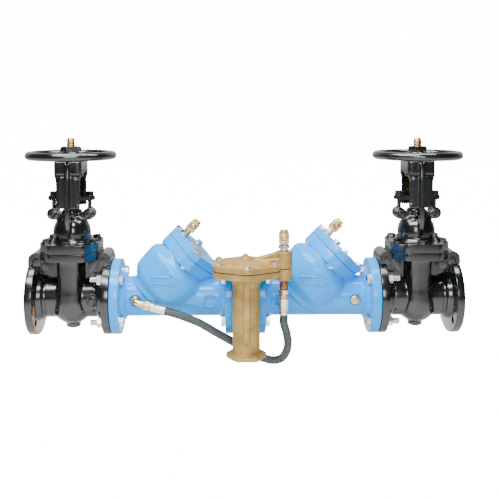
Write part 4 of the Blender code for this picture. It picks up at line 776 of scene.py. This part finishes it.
def bonnet_casting():
    """Dome, stuffing box, forked lugs, arms, ribs and hub, in one casting."""
    dome = turned([(0, 220), (25, 220, 3), (25, 206), (30, 202), (37, 196, 5), (43.5, 185, 8), (47.5, 168, 9),
                   (46.5, 150, 5), (51, 143.2, 3), (51, 139), (0, 139)], 0, BLACK, steps=5)
    adds = [rod(24, 190, 222, sides=48), box((-45, -17, 197), (45, 17, 215), None, 2)]
    for side in (-1, 1):
        adds.append(to_front(rod(15, -17, 17, sides=40), (side * EYE_X, 0, EYE_Z)))
        adds.append(to_front(rod(10.5, -18.4, 18.4, sides=40), (side * EYE_X, 0, EYE_Z)))
    adds.append(box((-34, -51, 315), (34, 51, 344.6), None, 0, 11))
    adds.append(rod(31, 306, 345, sides=48))
    for front in (-1, 1):
        low, high = sorted((front * 40.5, front * 49.5))
        panel = [(-29, 229), (29, 229), (29, 296), (33, 312), (33, 322), (-33, 322), (-33, 312), (-29, 296)]
        arm = prism(rounded(panel, 3, True, 2), -high, -low)
        adds.append(to_front(arm))
        rim = prism(rounded([(-29, 229), (29, 229), (29, 238), (24, 241), (24, 300), (18, 306), (-18, 306),
                             (-24, 300), (-24, 241), (-29, 238)], 2, True, 2),
                    min(-front * 49.0, -front * 51.6), max(-front * 49.0, -front * 51.6))
        adds.append(to_front(rim))
        rib = [(30, 158), (44, 156), (53, 172), (62.0, 200), (63, 215), (63, 306), (60, 326), (55, 342.5),
               (40.5, 342.5), (40.5, 206), (30, 186)]
        web = prism(rounded([(front * y, z) for y, z in rib], 5, True, 3), -5.5, 5.5)
        adds.append(moved(web, X_TO_SIDE))
    cuts = [lathe([(0, 183), (29, 183), (37, 156), (37, 130), (0, 130)], None, 48),
            rod(17.9, 192, 230, sides=48), rod(11.2, 150, 230, sides=40), rod(17.9, 300, 350, sides=48)]
    for side in (-1, 1):
        low, high = sorted((side * 33.0, side * 70.0))
        cuts.append(box((low, -6.4, 194), (high, 6.4, 232)))
    return cast(dome, adds, cuts, BLACK, 1.5, 3)


def bonnet_flange():
    top = prism(BONNET_OUTLINE, 122.3, 143.3, BLACK, 1.6)
    lands = [moved(rod(15.5, 143.0, 144.2, BLACK, edge=0.6), (x, y, 0)) for x, y in BONNET_BOLTS]
    return [carve(top, (), [rod(37, 110, 150, sides=48)], BLACK), *lands]


def bonnet_bolts():
    line = prism(rounded(octagon(72, 84, 41.5, 41.5), 7, True, 4), 121.0, 122.0, SHEET)
    carve(line, (), [rod(48, 110, 130, sides=48)], SHEET)
    heads = hexes([(x, y, 144.0) for x, y in BONNET_BOLTS], 19, 8, BLACK, (11.2, 0.8), (6, 24, 0), 3)
    return [line, heads]


def gate_stem():
    """Left-hand trapezoidal thread of 5.08 mm above, smooth below, with the collar that lifts the wedge."""
    thread = screw_thread(10.4, 5.08, 1.9, 262, 399.5, STEM_BRONZE, -1, 40, 8)
    tip = lathe([(0, 402), (6.4, 402), (8.2, 400.4), (8.5, 399), (0, 399)], STEM_BRONZE, 40)
    smooth = turned([(0, 264), (8.6, 264), (10.4, 261), (10.4, 66), (8.2, 64), (8.2, 56.4), (14.6, 56.4),
                     (14.6, 50.4), (0, 50.4)], 0.4, STEM_BRONZE, 40)
    return [thread, tip, smooth]


def sleeve():
    return [turned([(16, 380.6, 0.6), (16, 310.7), (23.6, 310.7, 0.5), (23.6, 302.8, 1.0), (11.9, 302.8, 0.5),
                    (11.9, 380.6, 0.8)], 0, STEM_BRONZE, 56, True, 2)]


def handwheel():
    """Cast wheel: round rim, dished hub and five tapered spokes."""
    rim = lathe([(102.7 + 10.2 * math.sin(a), 358.4 + 10.2 * math.cos(a))
                 for a in (2 * math.pi * i / 28 for i in range(28))], BLACK, 120, True)
    hub = turned([(16.5, 367, 0.8), (24, 367, 2.5), (28, 361, 3), (29, 352, 3), (25.5, 345.4, 1.5),
                  (16.5, 345.4, 0.6)], 0, BLACK, 64, True)
    spoke = turned([(0, 98), (7.6, 98), (6.3, 82, 6), (5.9, 50, 6), (7.4, 30, 5), (8.6, 22), (0, 22)], 0,
                   BLACK, 20)
    moved(spoke, (0, 0, 357.0), UP_TO_X, Matrix.Diagonal((0.85, 1.12, 1.0, 1.0)))
    spokes = grown(spoke, SPOKES, {"Count": 5, "First Angle": -math.pi / 2, "Material": BLACK}, BLACK)
    return [rim, hub, spokes]


def wheel_nut():
    nut = hexes([(0, 0, 367.4)], 46, 12.2, BLACK, (24.5, 1.0), (5, 0, 0), 2)
    return [carve(nut, (), [rod(16.6, 360, 390, sides=48)], BLACK, 24.0)]


def gland():
    outline = rounded([(58.5, -9, 8), (58.5, 9, 8), (46, 14, 6), (20, 24, 14), (-20, 24, 14), (-46, 14, 6),
                       (-58.5, 9, 8), (-58.5, -9, 8), (-46, -14, 6), (-20, -24, 14), (20, -24, 14),
                       (46, -14, 6)], 0, True, 5)
    plate = prism(outline, 246, 256, BLACK, 1.5)
    holes = [rod(11.2, 200, 270, sides=40)]
    holes += [moved(rod(6.2, 240, 262, sides=32), (side * EYE_X, 0, 0)) for side in (-1, 1)]
    carve(plate, [turned([(0, 260), (17, 260, 2), (19, 254), (0, 254)], 0, sides=48)], holes, BLACK)
    spigot = tube_ring(17.3, 11.2, 210.9, 247, BLACK)
    return [plate, spigot]


def eye_bolt(side):
    x = side * EYE_X
    eye = to_front(tube_ring(11.0, 4.4, -5.9, 5.9, BLACK, 1.0), (x, 0, EYE_Z))
    pin = to_front(rod(5.2, -21.5, 21.5, BLACK, 32, 1.2), (x, 0, EYE_Z))
    ends = [to_front(tube_ring(9.6, 7.2, 19.4 * k - 1.2, 19.4 * k + 1.2, BLACK, 0.7), (x, 0, EYE_Z))
            for k in (-1, 1)]
    shank = moved(screw_thread(5.5, 1.75, 0.9, 221, 268, BLACK, 1, 20, 5), (x, 0, 0))
    neck = moved(rod(5.4, 216, 224, BLACK, 24), (x, 0, 0))
    nut = hexes([(x, 0, 256.2)], 19, 10, BLACK, (11.0, 1.4), (5, 0, 0), 7)
    return [eye, pin, *ends, shank, neck, nut]


GATE_BODY_SHAPES = [gate_flanges(), *gate_casting(), body_top_flange()]
BONNET_SHAPES = [bonnet_casting(), *bonnet_flange()]


def gate_valve(number):
    place = shift(GATE_X[number])
    name = f"gate_{number}_"
    wheel_body = name + "wheel_and_sleeve"
    gate_body(number)
    whole(name + "bonnet_and_yoke", [again(s) for s in BONNET_SHAPES], name + "bonnet_yoke",
          place)
    whole(name + "bonnet_fasteners", bonnet_bolts(), name + "bonnet_gasket_bolts", place)
    whole(name + "rising_stem", gate_stem(), name + "stem", place,
          body=name + "stem_and_wedge")
    whole(name + "sleeve", sleeve(), name + "yoke_sleeve", place, body=wheel_body)
    whole(name + "wheel", handwheel(), name + "handwheel", place, body=wheel_body)
    whole(name + "hub_nut", wheel_nut(), name + "wheel_nut", place, body=wheel_body)
    whole(name + "gland", gland(), name + "gland_follower", place)
    whole(name + "eye_bolt_left", eye_bolt(-1), name + "eye_bolt_up", place)
    whole(name + "eye_bolt_right", eye_bolt(1), name + "eye_bolt_down", place)


for unit_number in (1, 2):
    gate_valve(unit_number)
remove([*GATE_BODY_SHAPES, *BONNET_SHAPES])

plug = to_front(turned([(0, 58.0), (8.2, 58.0, 0.8), (8.2, 42.0), (0, 42.0)], 0, BLACK, 40), (57, 0, 1))
square = moved(box((-5.6, -66, -5.6), (5.6, -55, 5.6), BLACK, 0.8, 1.2), (57, 0, 1))
whole("gate_1_plug", [plug, square], "gate_1_port_plug", shift(GATE_X[1]))


# Check valve ----------------------------------------------------------

LEAN = Matrix.Rotation(math.radians(45), 4, "Y")
DIAMOND = rounded(octagon(77, 77, 14.92, 14.92), 5, True, 3)


def check_pipe():
    """Flanges, hubs and the bored pipe."""
    end = CHECK_LENGTH
    ring = turned([(FLANGE_R, end, 1.8), (FLANGE_R, end - 21.5, 2.2), (63, end - 21.5, 4),
                   (60.5, end - 31, 4), (50.5, end - 36, 5), (50, end - 44), (50, 44), (50.5, 36, 5),
                   (60.5, 31, 4), (63, 21.5, 4), (FLANGE_R, 21.5, 2.2), (FLANGE_R, 0, 1.8), (BORE_R, 0, 1.0),
                   (BORE_R, end, 1.0)], 0, BLUE, 112, True, 3)
    holes = [moved(rod(BOLT_HOLE_R, low, low + 34, sides=24), (x, y, 0)) for x, y, _ in FLANGE_BOLTS
             for low in (-6, end - 28)]
    return along_x(carve(ring, (), holes, BLUE))


def chamber_profile(grow=0.0):
    return [(0, 128), (63 + grow, 128), (63 + grow, 124, 3), (86 + grow, 103, 9), (85 + grow, 66, 10),
            (82 + grow, 37, 9), (66 + grow, 20, 7), (62 + grow, 17, 2), (62 + grow, 4, 3), (0, 2)]


def check_casting():
    """The leaning chamber, its band and the pipe grown together."""
    to_axis = shift(CHECK_AXIS) @ LEAN
    pipe = along_x(rod(50.4, 30, CHECK_LENGTH - 30, BLUE, 72))
    chamber = moved(turned(chamber_profile(), 0, steps=5), to_axis)
    square = moved(prism([(x * 0.955, y * 0.955) for x, y in DIAMOND], 126, 149, None), to_axis)
    bosses = [to_front(rod(16.0, 20, 43.0, sides=48, edge=1.5), (x, 0, 0))
              for x in (BOSS_IN, CHECK_LENGTH - BOSS_IN)]
    cuts = [along_x(rod(41.0, -20, CHECK_LENGTH + 20, sides=64)),
            moved(rod(45.2, 20, 160, sides=64), to_axis)]
    return cast(pipe, [chamber, square, *bosses], cuts, BLUE, 1.9, 5)


def arrow_relief():
    """A raised, outlined arrow along the flow: a bead laid on the chamber's front."""
    wall = sorted((z, r) for r, z in rounded(chamber_profile(), steps=5) if r > 1)
    middle = CENTRE_X - 195 - CHECK_START[1]
    corners = [(-37, -8), (10, -8), (10, -17), (37, 0), (10, 17), (10, 8), (-37, 8), (-29, 0), (-37, -8)]
    steps = list(zip(wall, wall[1:]))
    line = []
    for (x1, z1), (x2, z2) in zip(corners, corners[1:]):
        for k in range(8):
            x = middle - CHECK_AXIS + x1 + (x2 - x1) * k / 8
            z = 57 + z1 + (z2 - z1) * k / 8
            across, height = (x - z) * math.sqrt(0.5), (x + z) * math.sqrt(0.5)
            (z_low, r_low), (z_high, r_high) = max(pair for pair in steps if pair[0][0] <= height)
            radius = r_low + (r_high - r_low) * (height - z_low) / max(z_high - z_low, 0.01)
            line.append((x + CHECK_AXIS, -math.sqrt(radius ** 2 - across ** 2) - 0.5, z))
    return sweep(line, 2.1, BLUE, 12, closed=True)


def check_trim():
    """Crisp machined square under the cover, and a rim ring round each boss."""
    to_axis = shift(CHECK_AXIS) @ LEAN
    square = moved(prism(DIAMOND, 126, 152, BLUE, 1.4), to_axis)
    bore = moved(rod(46.0, 110, 160, sides=64), to_axis)
    carve(square, (), [bore], BLUE)
    rims = []
    for x in (BOSS_IN, CHECK_LENGTH - BOSS_IN):
        rims.append(to_front(turned([(17.8, 40, 0.5), (17.8, 56.2, 2.0), (13.8, 56.2, 1.8), (12.6, 46.0, 1.2),
                                     (9.2, 45.8, 0.5), (8.6, 40)], 0, BLUE, 56, True, 3), (x, 0, 0)))
    return [square, *rims]


CHECK_SHAPES = [check_pipe(), check_casting(), arrow_relief(), *check_trim()]


def blank_boss(x):
    """The skin over a boss that was never drilled."""
    return to_front(lathe([(0, 46.2), (9.4, 46.0), (9.4, 38), (0, 38)], BLUE, 40), (x, 0, 0))


def check_cover():
    plate = prism(DIAMOND, 153.6, COVER_TOP, BLUE, 1.6)
    holes = [moved(rod(6.6, 140, 190, sides=24), (x, y, 0)) for x, y, _ in COVER_BOLTS]
    holes += [moved(rod(7.0, 140, 190, sides=24), (COVER_BOSS_X, 0, 0)), rod(6.6, 110, 168, sides=24)]
    carve(plate, (), holes, BLUE)
    guide = tube_ring(13, 6.6, 119.8, 154, BLUE)
    spigot = tube_ring(44.6, 13, 147.8, 154, BLUE)
    boss = moved(tube_ring(13.5, 7.2, 173.0, 175.4, BLUE, 0.8), (COVER_BOSS_X, 0, 0))
    label = box((-24, -19, 173.5), (24, 19, 174.4), PLATE, 0.3, 3)
    rivets = [moved(turned([(0, 175.3), (1.2, 175.2), (1.9, 174.3), (0, 174.2)], 0.3, STEEL, 20), (x, y, 0))
              for x in (-20.5, 20.5) for y in (-15.5, 15.5)]
    return [plate, guide, spigot, boss, label, *rivets]


def cover_bolts(number):
    line = prism(rounded(octagon(75.8, 75.8, 14.7, 14.7), 5, True, 3), 152.3, 153.3, SHEET)
    carve(line, (), [rod(47, 140, 160, sides=48)], SHEET)
    heads = hexes([(x, y, 173.7) for x, y, _ in COVER_BOLTS], 18, 7, ZINC, (10.2, 0.9), (6, 36, 0), number)
    ends = hexes([(x, y, 0) for x, y, _ in COVER_BOLTS], 18, 6, ZINC, (10.0, 0.8), (6, 0, 2.5), number + 4)
    moved(ends, (0, 0, 127.9), UP_TO_DOWN)
    return [line, heads, ends]


def cock_body(foot, base):
    """Small ball valve: threaded neck, hexagon, square body with a stem boss, and a threaded mouth."""
    x, y, z = foot
    neck = moved(rod(6.4, z - 11, z + 17, BRASS, 32), (x, y, 0))
    foot_hex = hexes([(x, y, z + base[1])], base[0], base[2], base[3], (0.0, 0.0), (6, 0, 0), 1)
    block = moved(box((-11.8, -11.4, z + 18), (11.8, 11.4, z + 43), BRASS, 1.4, 2.6), (x, y, 0))
    collar = moved(rod(9.6, z + 0.3, z + 19, base[3], 40, 0.6), (x, y, 0))
    boss = to_front(tube_ring(9.4, 7.5, 10.5, 13.6, BRASS, 0.5), (x, y, z + COCK_AXIS))
    mouth = moved(turned([(10.2, z + 50, 0.8), (10.2, z + 46.5, 0.6), (9.4, z + 46), (9.4, z + 40),
                          (4.2, z + 40), (4.2, z + 48.5), (6.0, z + 50, 0.4)], 0, BRASS, 44, True, 2),
                  (x, y, 0))
    pocket = to_front(rod(7.5, -7.4, 20, sides=32), (x, y, z + COCK_AXIS))
    way = moved(rod(4.2, z + 30, z + 60, sides=24), (x, y, 0))
    carve(block, (), [pocket, way], BRASS)
    return [neck, foot_hex, block, collar, boss, mouth]


def cock_stem(foot):
    """The quarter-turn stem, with its screwdriver slot towards the front."""
    x, y, z = foot
    stem = turned([(0, 14.8), (4.6, 14.8, 0.6), (6.5, 13.0, 0.8), (6.5, -6.7, 0.4), (0, -6.7)], 0, BRASS, 40,
                  steps=3)
    slot = box((-10, -1.5, 11.4), (10, 1.5, 20))
    carve(stem, (), [slot], BRASS)
    return to_front(stem, (x, y, z + COCK_AXIS))


def test_cock(number, foot, place, base=(17, 9.0, 7.0, BRASS)):
    whole(f"test_cock_{number}_valve", cock_body(foot, base), f"test_cock_{number}_body", place)
    whole(f"test_cock_{number}_key", [cock_stem(foot)], f"test_cock_{number}_stem", place,
          body=f"test_cock_{number}_stem_body")


def check_valve(number):
    pipe_place = shift(CHECK_START[number])
    axis_place = shift(CHECK_START[number] + CHECK_AXIS) @ LEAN
    name = f"check_{number}_"
    shapes = [again(s) for s in CHECK_SHAPES]
    shapes.append(blank_boss(CHECK_LENGTH - BOSS_IN if number == 1 else BOSS_IN))
    whole(name + "body_casting", shapes, name + "body", pipe_place)
    whole(name + "cover_plate", check_cover(), name + "cover", axis_place)
    whole(name + "cover_fasteners", cover_bolts(number), name + "cover_gasket_bolts",
          axis_place)
    test_cock(number, (COVER_BOSS_X, 0, COVER_TOP), axis_place)


for unit_number in (1, 2):
    check_valve(unit_number)
remove(CHECK_SHAPES)

plug = to_front(rod(8.2, 42, 57, BRASS, 40), (0, 0, 0))
head = to_front(turned([(0, 61.0), (7.2, 61.0, 0.8), (7.2, 57.6, 0.6), (11.0, 57.0, 0.8), (11.0, 56.3),
                        (0, 56.3)], 0, BRASS, 44, steps=3))
whole("check_2_plug", [plug, head], "check_2_port_plug",
      shift(CHECK_START[2] + CHECK_LENGTH - BOSS_IN))


# Spool and relief valve -----------------------------------------------

def centre_spool():
    ring = along_x(tube_ring(62, BORE_R, -27, 27, BRONZE, 1.2, 96))
    arm = box((-26, -84, -38), (26, -41, 38), BRONZE, 1.5, 5)
    carve(arm, (), [to_front(rod(18, 0, 100, sides=40))], BRONZE)
    return [ring, arm]


def relief_column():
    """Column, rib, skirt under the housing and the bottom lip, cast in one."""
    column = turned([(0, 84), (74, 84), (72, 79, 3), (60, 75, 6), (38, 68, 10), (33.0, 56, 6), (32.8, 40),
                     (32.8, -118), (0, -118)], 0, BRONZE, steps=5)
    rib = box((-6, -36, -70), (6, -20, 78))
    front = rounded([(-11, 76), (11, 76), (11, -80, 10), (-11, -80, 10)], 0, True, 8)
    crisp = to_front(prism(front, 24, 39.6, BRONZE))
    for corner in crisp.data.vertices:
        if corner.co.y < -35:  # the rib narrows towards its face
            corner.co.x *= 0.58
            if corner.co.z < -60:
                corner.co.z = max(corner.co.z, -80 + 0.45 * (corner.co.z + 80) + 3.5)
    lip = prism(rounded(hexagon(50.0), 5, True, 3), -120, -108.5, None, 0)
    branch = box((-26, 20, -38), (26, 41.2, 38), None, 0, 0)
    boss = moved(rod(20, 67.6, 94, sides=48, edge=1), (SIDE_BOSS_X, 0, 0))
    gusset = box((50, -9, 70), (90, 9, 90))
    cuts = [rod(27, -130, -32, sides=48), rod(14, -34, -22, sides=40), rod(27, -24, 45, sides=48),
            to_front(rod(18, -60, 0, sides=40)), rod(5.6, 40, 90, sides=24), rod(52, 72, 100, sides=48),
            moved(rod(7.2, 60, 100, sides=24), (SIDE_BOSS_X, 0, 0))]
    return [cast(column, [rib, lip, branch, boss, gusset], cuts, BRONZE, 1.6, 3), crisp]


HOUSING = rounded(hexagon(92, math.pi / 2), 12, True, 5)


def boss_arm(low, high, edge):
    return prism(rounded([(46, -26), (96, -19, 8), (108, -9, 9), (108, 9, 9), (96, 19, 8), (46, 26)], 4, True,
                         4), low, high, BRONZE, edge)


def housing_plate():
    plate = prism(HOUSING, 81, 94.7, BRONZE, 1.8)
    arm = boss_arm(81, 94.7, 1.8)
    hole = [moved(rod(7.2, 60, 100, sides=24), (SIDE_BOSS_X, 0, 0)), rod(52, 70, 100, sides=48)]
    return carve(plate, [arm], hole, BRONZE)


def relief_cover():
    """Shallow domed cover with a centre boss and the ridge that carries the sensing way to the side boss."""
    plate = prism(HOUSING, 97.1, 109.0, BRONZE, 1.8)
    dome = turned([(0, 125), (12, 125, 2), (14.5, 120, 3), (40, 116.0, 10), (60, 110.5, 4), (63, 108),
                   (0, 106)], 0)
    ridge = to_front(prism([(8, 108), (100, 108), (100, 128), (92, 133), (70, 133), (14, 118)], -12, 12))
    flank = to_front(prism([(8, 107), (98, 107), (94, 120), (70, 120), (14, 112)], -17, 17))
    boss = moved(rod(20, 100, 136.8, sides=48, edge=1.2), (SIDE_BOSS_X, 0, 0))
    cuts = [lathe([(0, 112), (20, 111), (51.5, 105.5), (51.5, 90), (0, 90)], None, 48),
            moved(rod(7.0, 90, 140, sides=24), (SIDE_BOSS_X, 0, 0))]
    for x, y, _ in ring_points(6, RELIEF_BOLT_R, math.pi / 2):
        cuts.append(moved(rod(10.4, 109.6, 145, sides=32), (x, y, 0)))
    top = cast(dome, [ridge, flank, boss], cuts, BRONZE, 1.4, 1)
    arm = boss_arm(97.1, 109.0, 1.6)
    carve(plate, [arm], [rod(51.5, 90, 120, sides=48),
                         moved(rod(7.0, 90, 140, sides=24), (SIDE_BOSS_X, 0, 0))], BRONZE)
    return [plate, top]


def relief_bolts():
    line = prism(rounded(hexagon(91, math.pi / 2), 12, True, 5), 95.1, 96.6, SHEET)
    carve(line, (), [rod(25.5, 80, 110, sides=40)], SHEET)
    heads = hexes(ring_points(6, RELIEF_BOLT_R, math.pi / 2, 109.1), 13, 5.5, ZINC, (9.2, 1.0), (4, 30, 0),
                  11)
    return [line, heads]


relief_place = shift(CENTRE_X, RELIEF_Y)
whole("centre_spool_casting", centre_spool(), "centre_spool", shift(CENTRE_X))
whole("relief_valve_casting", [*relief_column(), housing_plate()], "relief_body", relief_place)
whole("relief_valve_cover", relief_cover(), "relief_cover", relief_place)
whole("relief_valve_fasteners", relief_bolts(), "relief_diaphragm_bolts", relief_place)
test_cock(3, (SIDE_BOSS_X, 0, 137), relief_place, (26, 6.5, 7.5, ZINC))


# Hose fittings --------------------------------------------------------

def along(direction, start):
    return Matrix.Translation(start) @ Vector((0, 0, 1)).rotation_difference(direction).to_matrix().to_4x4()


def elbow():
    """Street elbow: out of the boss, round the bend and along the check valve."""
    start = Vector((ELBOW_CORNER.x, -56.2, ELBOW_CORNER.z))
    bend = Vector((ELBOW_CORNER.x, -75.0, ELBOW_CORNER.z))
    knots = [start, start.lerp(bend, 0.5)]
    for k in range(1, 6):
        t = k / 6
        a = start.lerp(bend, 0.5)
        b = bend + ALONG * 10
        knots.append(a * (1 - t) ** 2 + bend * 2 * t * (1 - t) + b * t * t)
    knots += [bend + ALONG * 10, bend + ALONG * 16]
    pipe = sweep(knots, 7.6, BRASS, 24)
    foot = moved(hexes([(0, 0, 0)], 19, 6.5, BRASS, (10.4, 0.8), (5, 8, 0), 1),
                 along(Vector((0, -1, 0)), start))
    collar = moved(turned([(0, 25), (8.6, 25, 1), (8.6, 14, 1), (0, 14)], 0, BRASS, 40, steps=2),
                   along(ALONG, bend))
    stem = moved(rod(7.4, -9, 4, BRASS, 32), along(Vector((0, -1, 0)), start))
    return [pipe, foot, collar, stem]


def inlet_end():
    nut = hexes([(0, 0, 0)], 21, 13.5, BRASS, (11.4, 1.0), (6, 0, 0), 1)
    neck = turned([(0, 18), (8.2, 18, 1), (8.2, 13), (0, 13)], 0, BRASS, 40, steps=2)
    ferrule = turned([(0, 53), (11.6, 53, 1.0), (11.6, 47.6, 0.6), (11.0, 47, 0.4), (11.0, 23, 0.4),
                      (11.6, 22.4, 0.6), (11.6, 17, 1.0), (0, 17)], 0, NICKEL, 48, steps=2)
    at = along(ALONG, ELBOW_END)
    return [moved(nut, at), moved(neck, at), moved(ferrule, at)]


def nipple():
    body = turned([(0, 22), (9.6, 22, 1), (9.6, 5.5, 1), (8.2, 4.8), (8.2, 0.4), (0, 0.4)], 0, COPPER, 48,
                  steps=2)
    at = along(DOWN, NIPPLE_TOP)
    stub = moved(rod(5.9, -11, 2, COPPER, 32), at)
    return [moved(body, at), stub]


def relief_end():
    nut = hexes([(0, 0, 0)], 24, 11, ZINC, (12.2, 0.8), (6, 0, 0), 1)
    band = turned([(0, 20), (10.6, 20, 0.8), (11.4, 15, 1), (10.6, 11.4, 0.8), (0, 11)], 0, BRASS, 44,
                  steps=2)
    ferrule = turned([(0, 61), (11.8, 61, 1.0), (11.8, 55.6, 0.6), (11.2, 55, 0.4), (11.2, 26, 0.4),
                      (11.8, 25.4, 0.6), (11.8, 20, 1.0), (0, 20)], 0, NICKEL, 48, steps=2)
    at = along(DOWN, SWIVEL_TOP)
    return [moved(nut, at), moved(band, at), moved(ferrule, at)]


whole("hose_elbow_fitting", elbow(), "hose_elbow")
whole("hose_inlet_fitting", inlet_end(), "hose_end_inlet")
whole("hose_nipple_fitting", nipple(), "hose_nipple")
whole("hose_relief_fitting", relief_end(), "hose_end_relief")


# Bolted joints --------------------------------------------------------

FLANGE_PLACES = [(-z, y) for y, z, _ in FLANGE_BOLTS]


def joint(name, face, head_x, nut_x, head_side, second_head, seed):
    """Gasket edge, four bolts, their nuts and the threads past the nuts, along X."""
    places = [(x, y, 0) for x, y in FLANGE_PLACES]
    turn = Matrix.Identity(4) if head_side > 0 else Matrix.Rotation(math.pi, 4, "Z")
    back = turn @ Matrix.Rotation(math.pi, 4, "Z")
    heads = hexes(places, 23.8, 10.2, ZINC, (0.0, 0.0), (7.9, abs(head_x - nut_x) + 2, 0), seed)
    nuts = hexes(places, 23.8, 10.2 if second_head else 13.2, ZINC, (0.0, 0.0), (7.9, 0, 0), seed + 1)
    shapes = [along_x(tube_ring(93, 39, 0.3, 1.3, SHEET, 0.1, 96), (face, 0, 0)),
              along_x(heads, (head_x, 0, 0), turn), along_x(nuts, (nut_x, 0, 0), back)]
    if not second_head:
        for y, z in FLANGE_PLACES:
            thread = screw_thread(7.8, 2.2, 1.2, -2, 29.8, ZINC, 1, 24, 5)
            shapes.append(moved(thread, (nut_x, 0, 0), back, UP_TO_X, (y, z, 0)))
    whole(name + "_fasteners", shapes, name + "_gasket_bolts")


start_1 = CHECK_START[1]
start_2 = CHECK_START[2]
end_1 = start_1 + CHECK_LENGTH
end_2 = start_2 + CHECK_LENGTH
joint("inlet_joint", start_1 - GASKET, start_1 + CHECK_FLANGE, start_1 - GASKET - GATE_FLANGE, 1, False, 21)
joint("centre_joint", end_1, start_2 + CHECK_FLANGE, end_1 - CHECK_FLANGE, 1, True, 31)
joint("outlet_joint", end_2, end_2 - CHECK_FLANGE, end_2 + GASKET + GATE_FLANGE, -1, False, 41)


# Finishes of the inner pieces that keep their own shape ---------------

CARRIED = {"wedge": BRONZE, "packing": GRAPHITE, "seat_ring": BRONZE, "disc": BRONZE, "spring": STEEL,
           "relief_stem_disc": STEEL, "relief_port_gasket": SHEET, "centre_joint_second_gasket": SHEET}
for name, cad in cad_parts.items():
    for ending, material in CARRIED.items():
        if name.endswith(ending):
            cad.data.materials.clear()
            cad.data.materials.append(material)


# Floor, world and lights ----------------------------------------------

def area(name, place, target, width, height, energy, colour="#FFFFFF"):
    data = bpy.data.lights.new(name, "AREA")
    data.shape = "RECTANGLE"
    data.size = width
    data.size_y = height
    data.energy = energy
    data.color = linear(colour)[:3]
    lamp = bpy.data.objects.new(name, data)
    lamp.location = place
    lamp.rotation_euler = (Vector(target) - Vector(place)).to_track_quat("-Z", "Y").to_euler()
    bpy.context.scene.collection.objects.link(lamp)


floor_mesh = bpy.data.meshes.new("floor")
floor_mesh.from_pydata([(-8, -8, 0), (8, -8, 0), (8, 8, 0), (-8, 8, 0)], [], [(0, 1, 2, 3)])
floor_mesh.transform(shift(0.54, 0, -0.24))
floor_paint, floor_tree, floor_shader, floor_place = finish("white_studio_floor", "#F2F2F2", Roughness=0.8)
floor_shader.inputs["Emission Color"].default_value = (1.0, 1.0, 1.0, 1.0)
floor_seen = node(floor_tree, "ShaderNodeLightPath").outputs["Is Camera Ray"]
floor_glow = node(floor_tree, "ShaderNodeMapRange", {"Value": floor_seen, "To Min": 0.0, "To Max": 16.0})
floor_tree.links.new(floor_glow.outputs["Result"], floor_shader.inputs["Emission Strength"])
put("floor", floor_mesh, floor_paint)

world = bpy.data.worlds.new("studio")
bpy.context.scene.world = world
world.use_nodes = True
air = world.node_tree
air.nodes["Background"].inputs["Color"].default_value = (1.0, 1.0, 1.0, 1.0)
seen = node(air, "ShaderNodeLightPath").outputs["Is Camera Ray"]
way = node(air, "ShaderNodeSeparateXYZ", {"Vector": node(air, "ShaderNodeTexCoord").outputs["Generated"]})
behind = node(air, "ShaderNodeMapRange", {"Value": way.outputs["Y"], "From Min": 0.2, "From Max": 0.9,
                                          "To Min": 0.05, "To Max": 0.9}, interpolation_type="SMOOTHSTEP")
level = node(air, "ShaderNodeMapRange", {"Value": seen, "To Min": behind.outputs["Result"], "To Max": 16.0})
air.links.new(level.outputs["Result"], air.nodes["Background"].inputs["Strength"])

area("camera_softbox", (0.54, -2.9, 0.85), (0.54, 0, 0.1), 1.4, 0.9, 48)
area("high_left_softbox", (0.1, -1.0, 1.5), (0.5, 0, 0.1), 1.5, 0.45, 52)
area("top_softbox", (0.54, -0.1, 1.6), (0.54, 0, 0.1), 2.0, 0.5, 56)
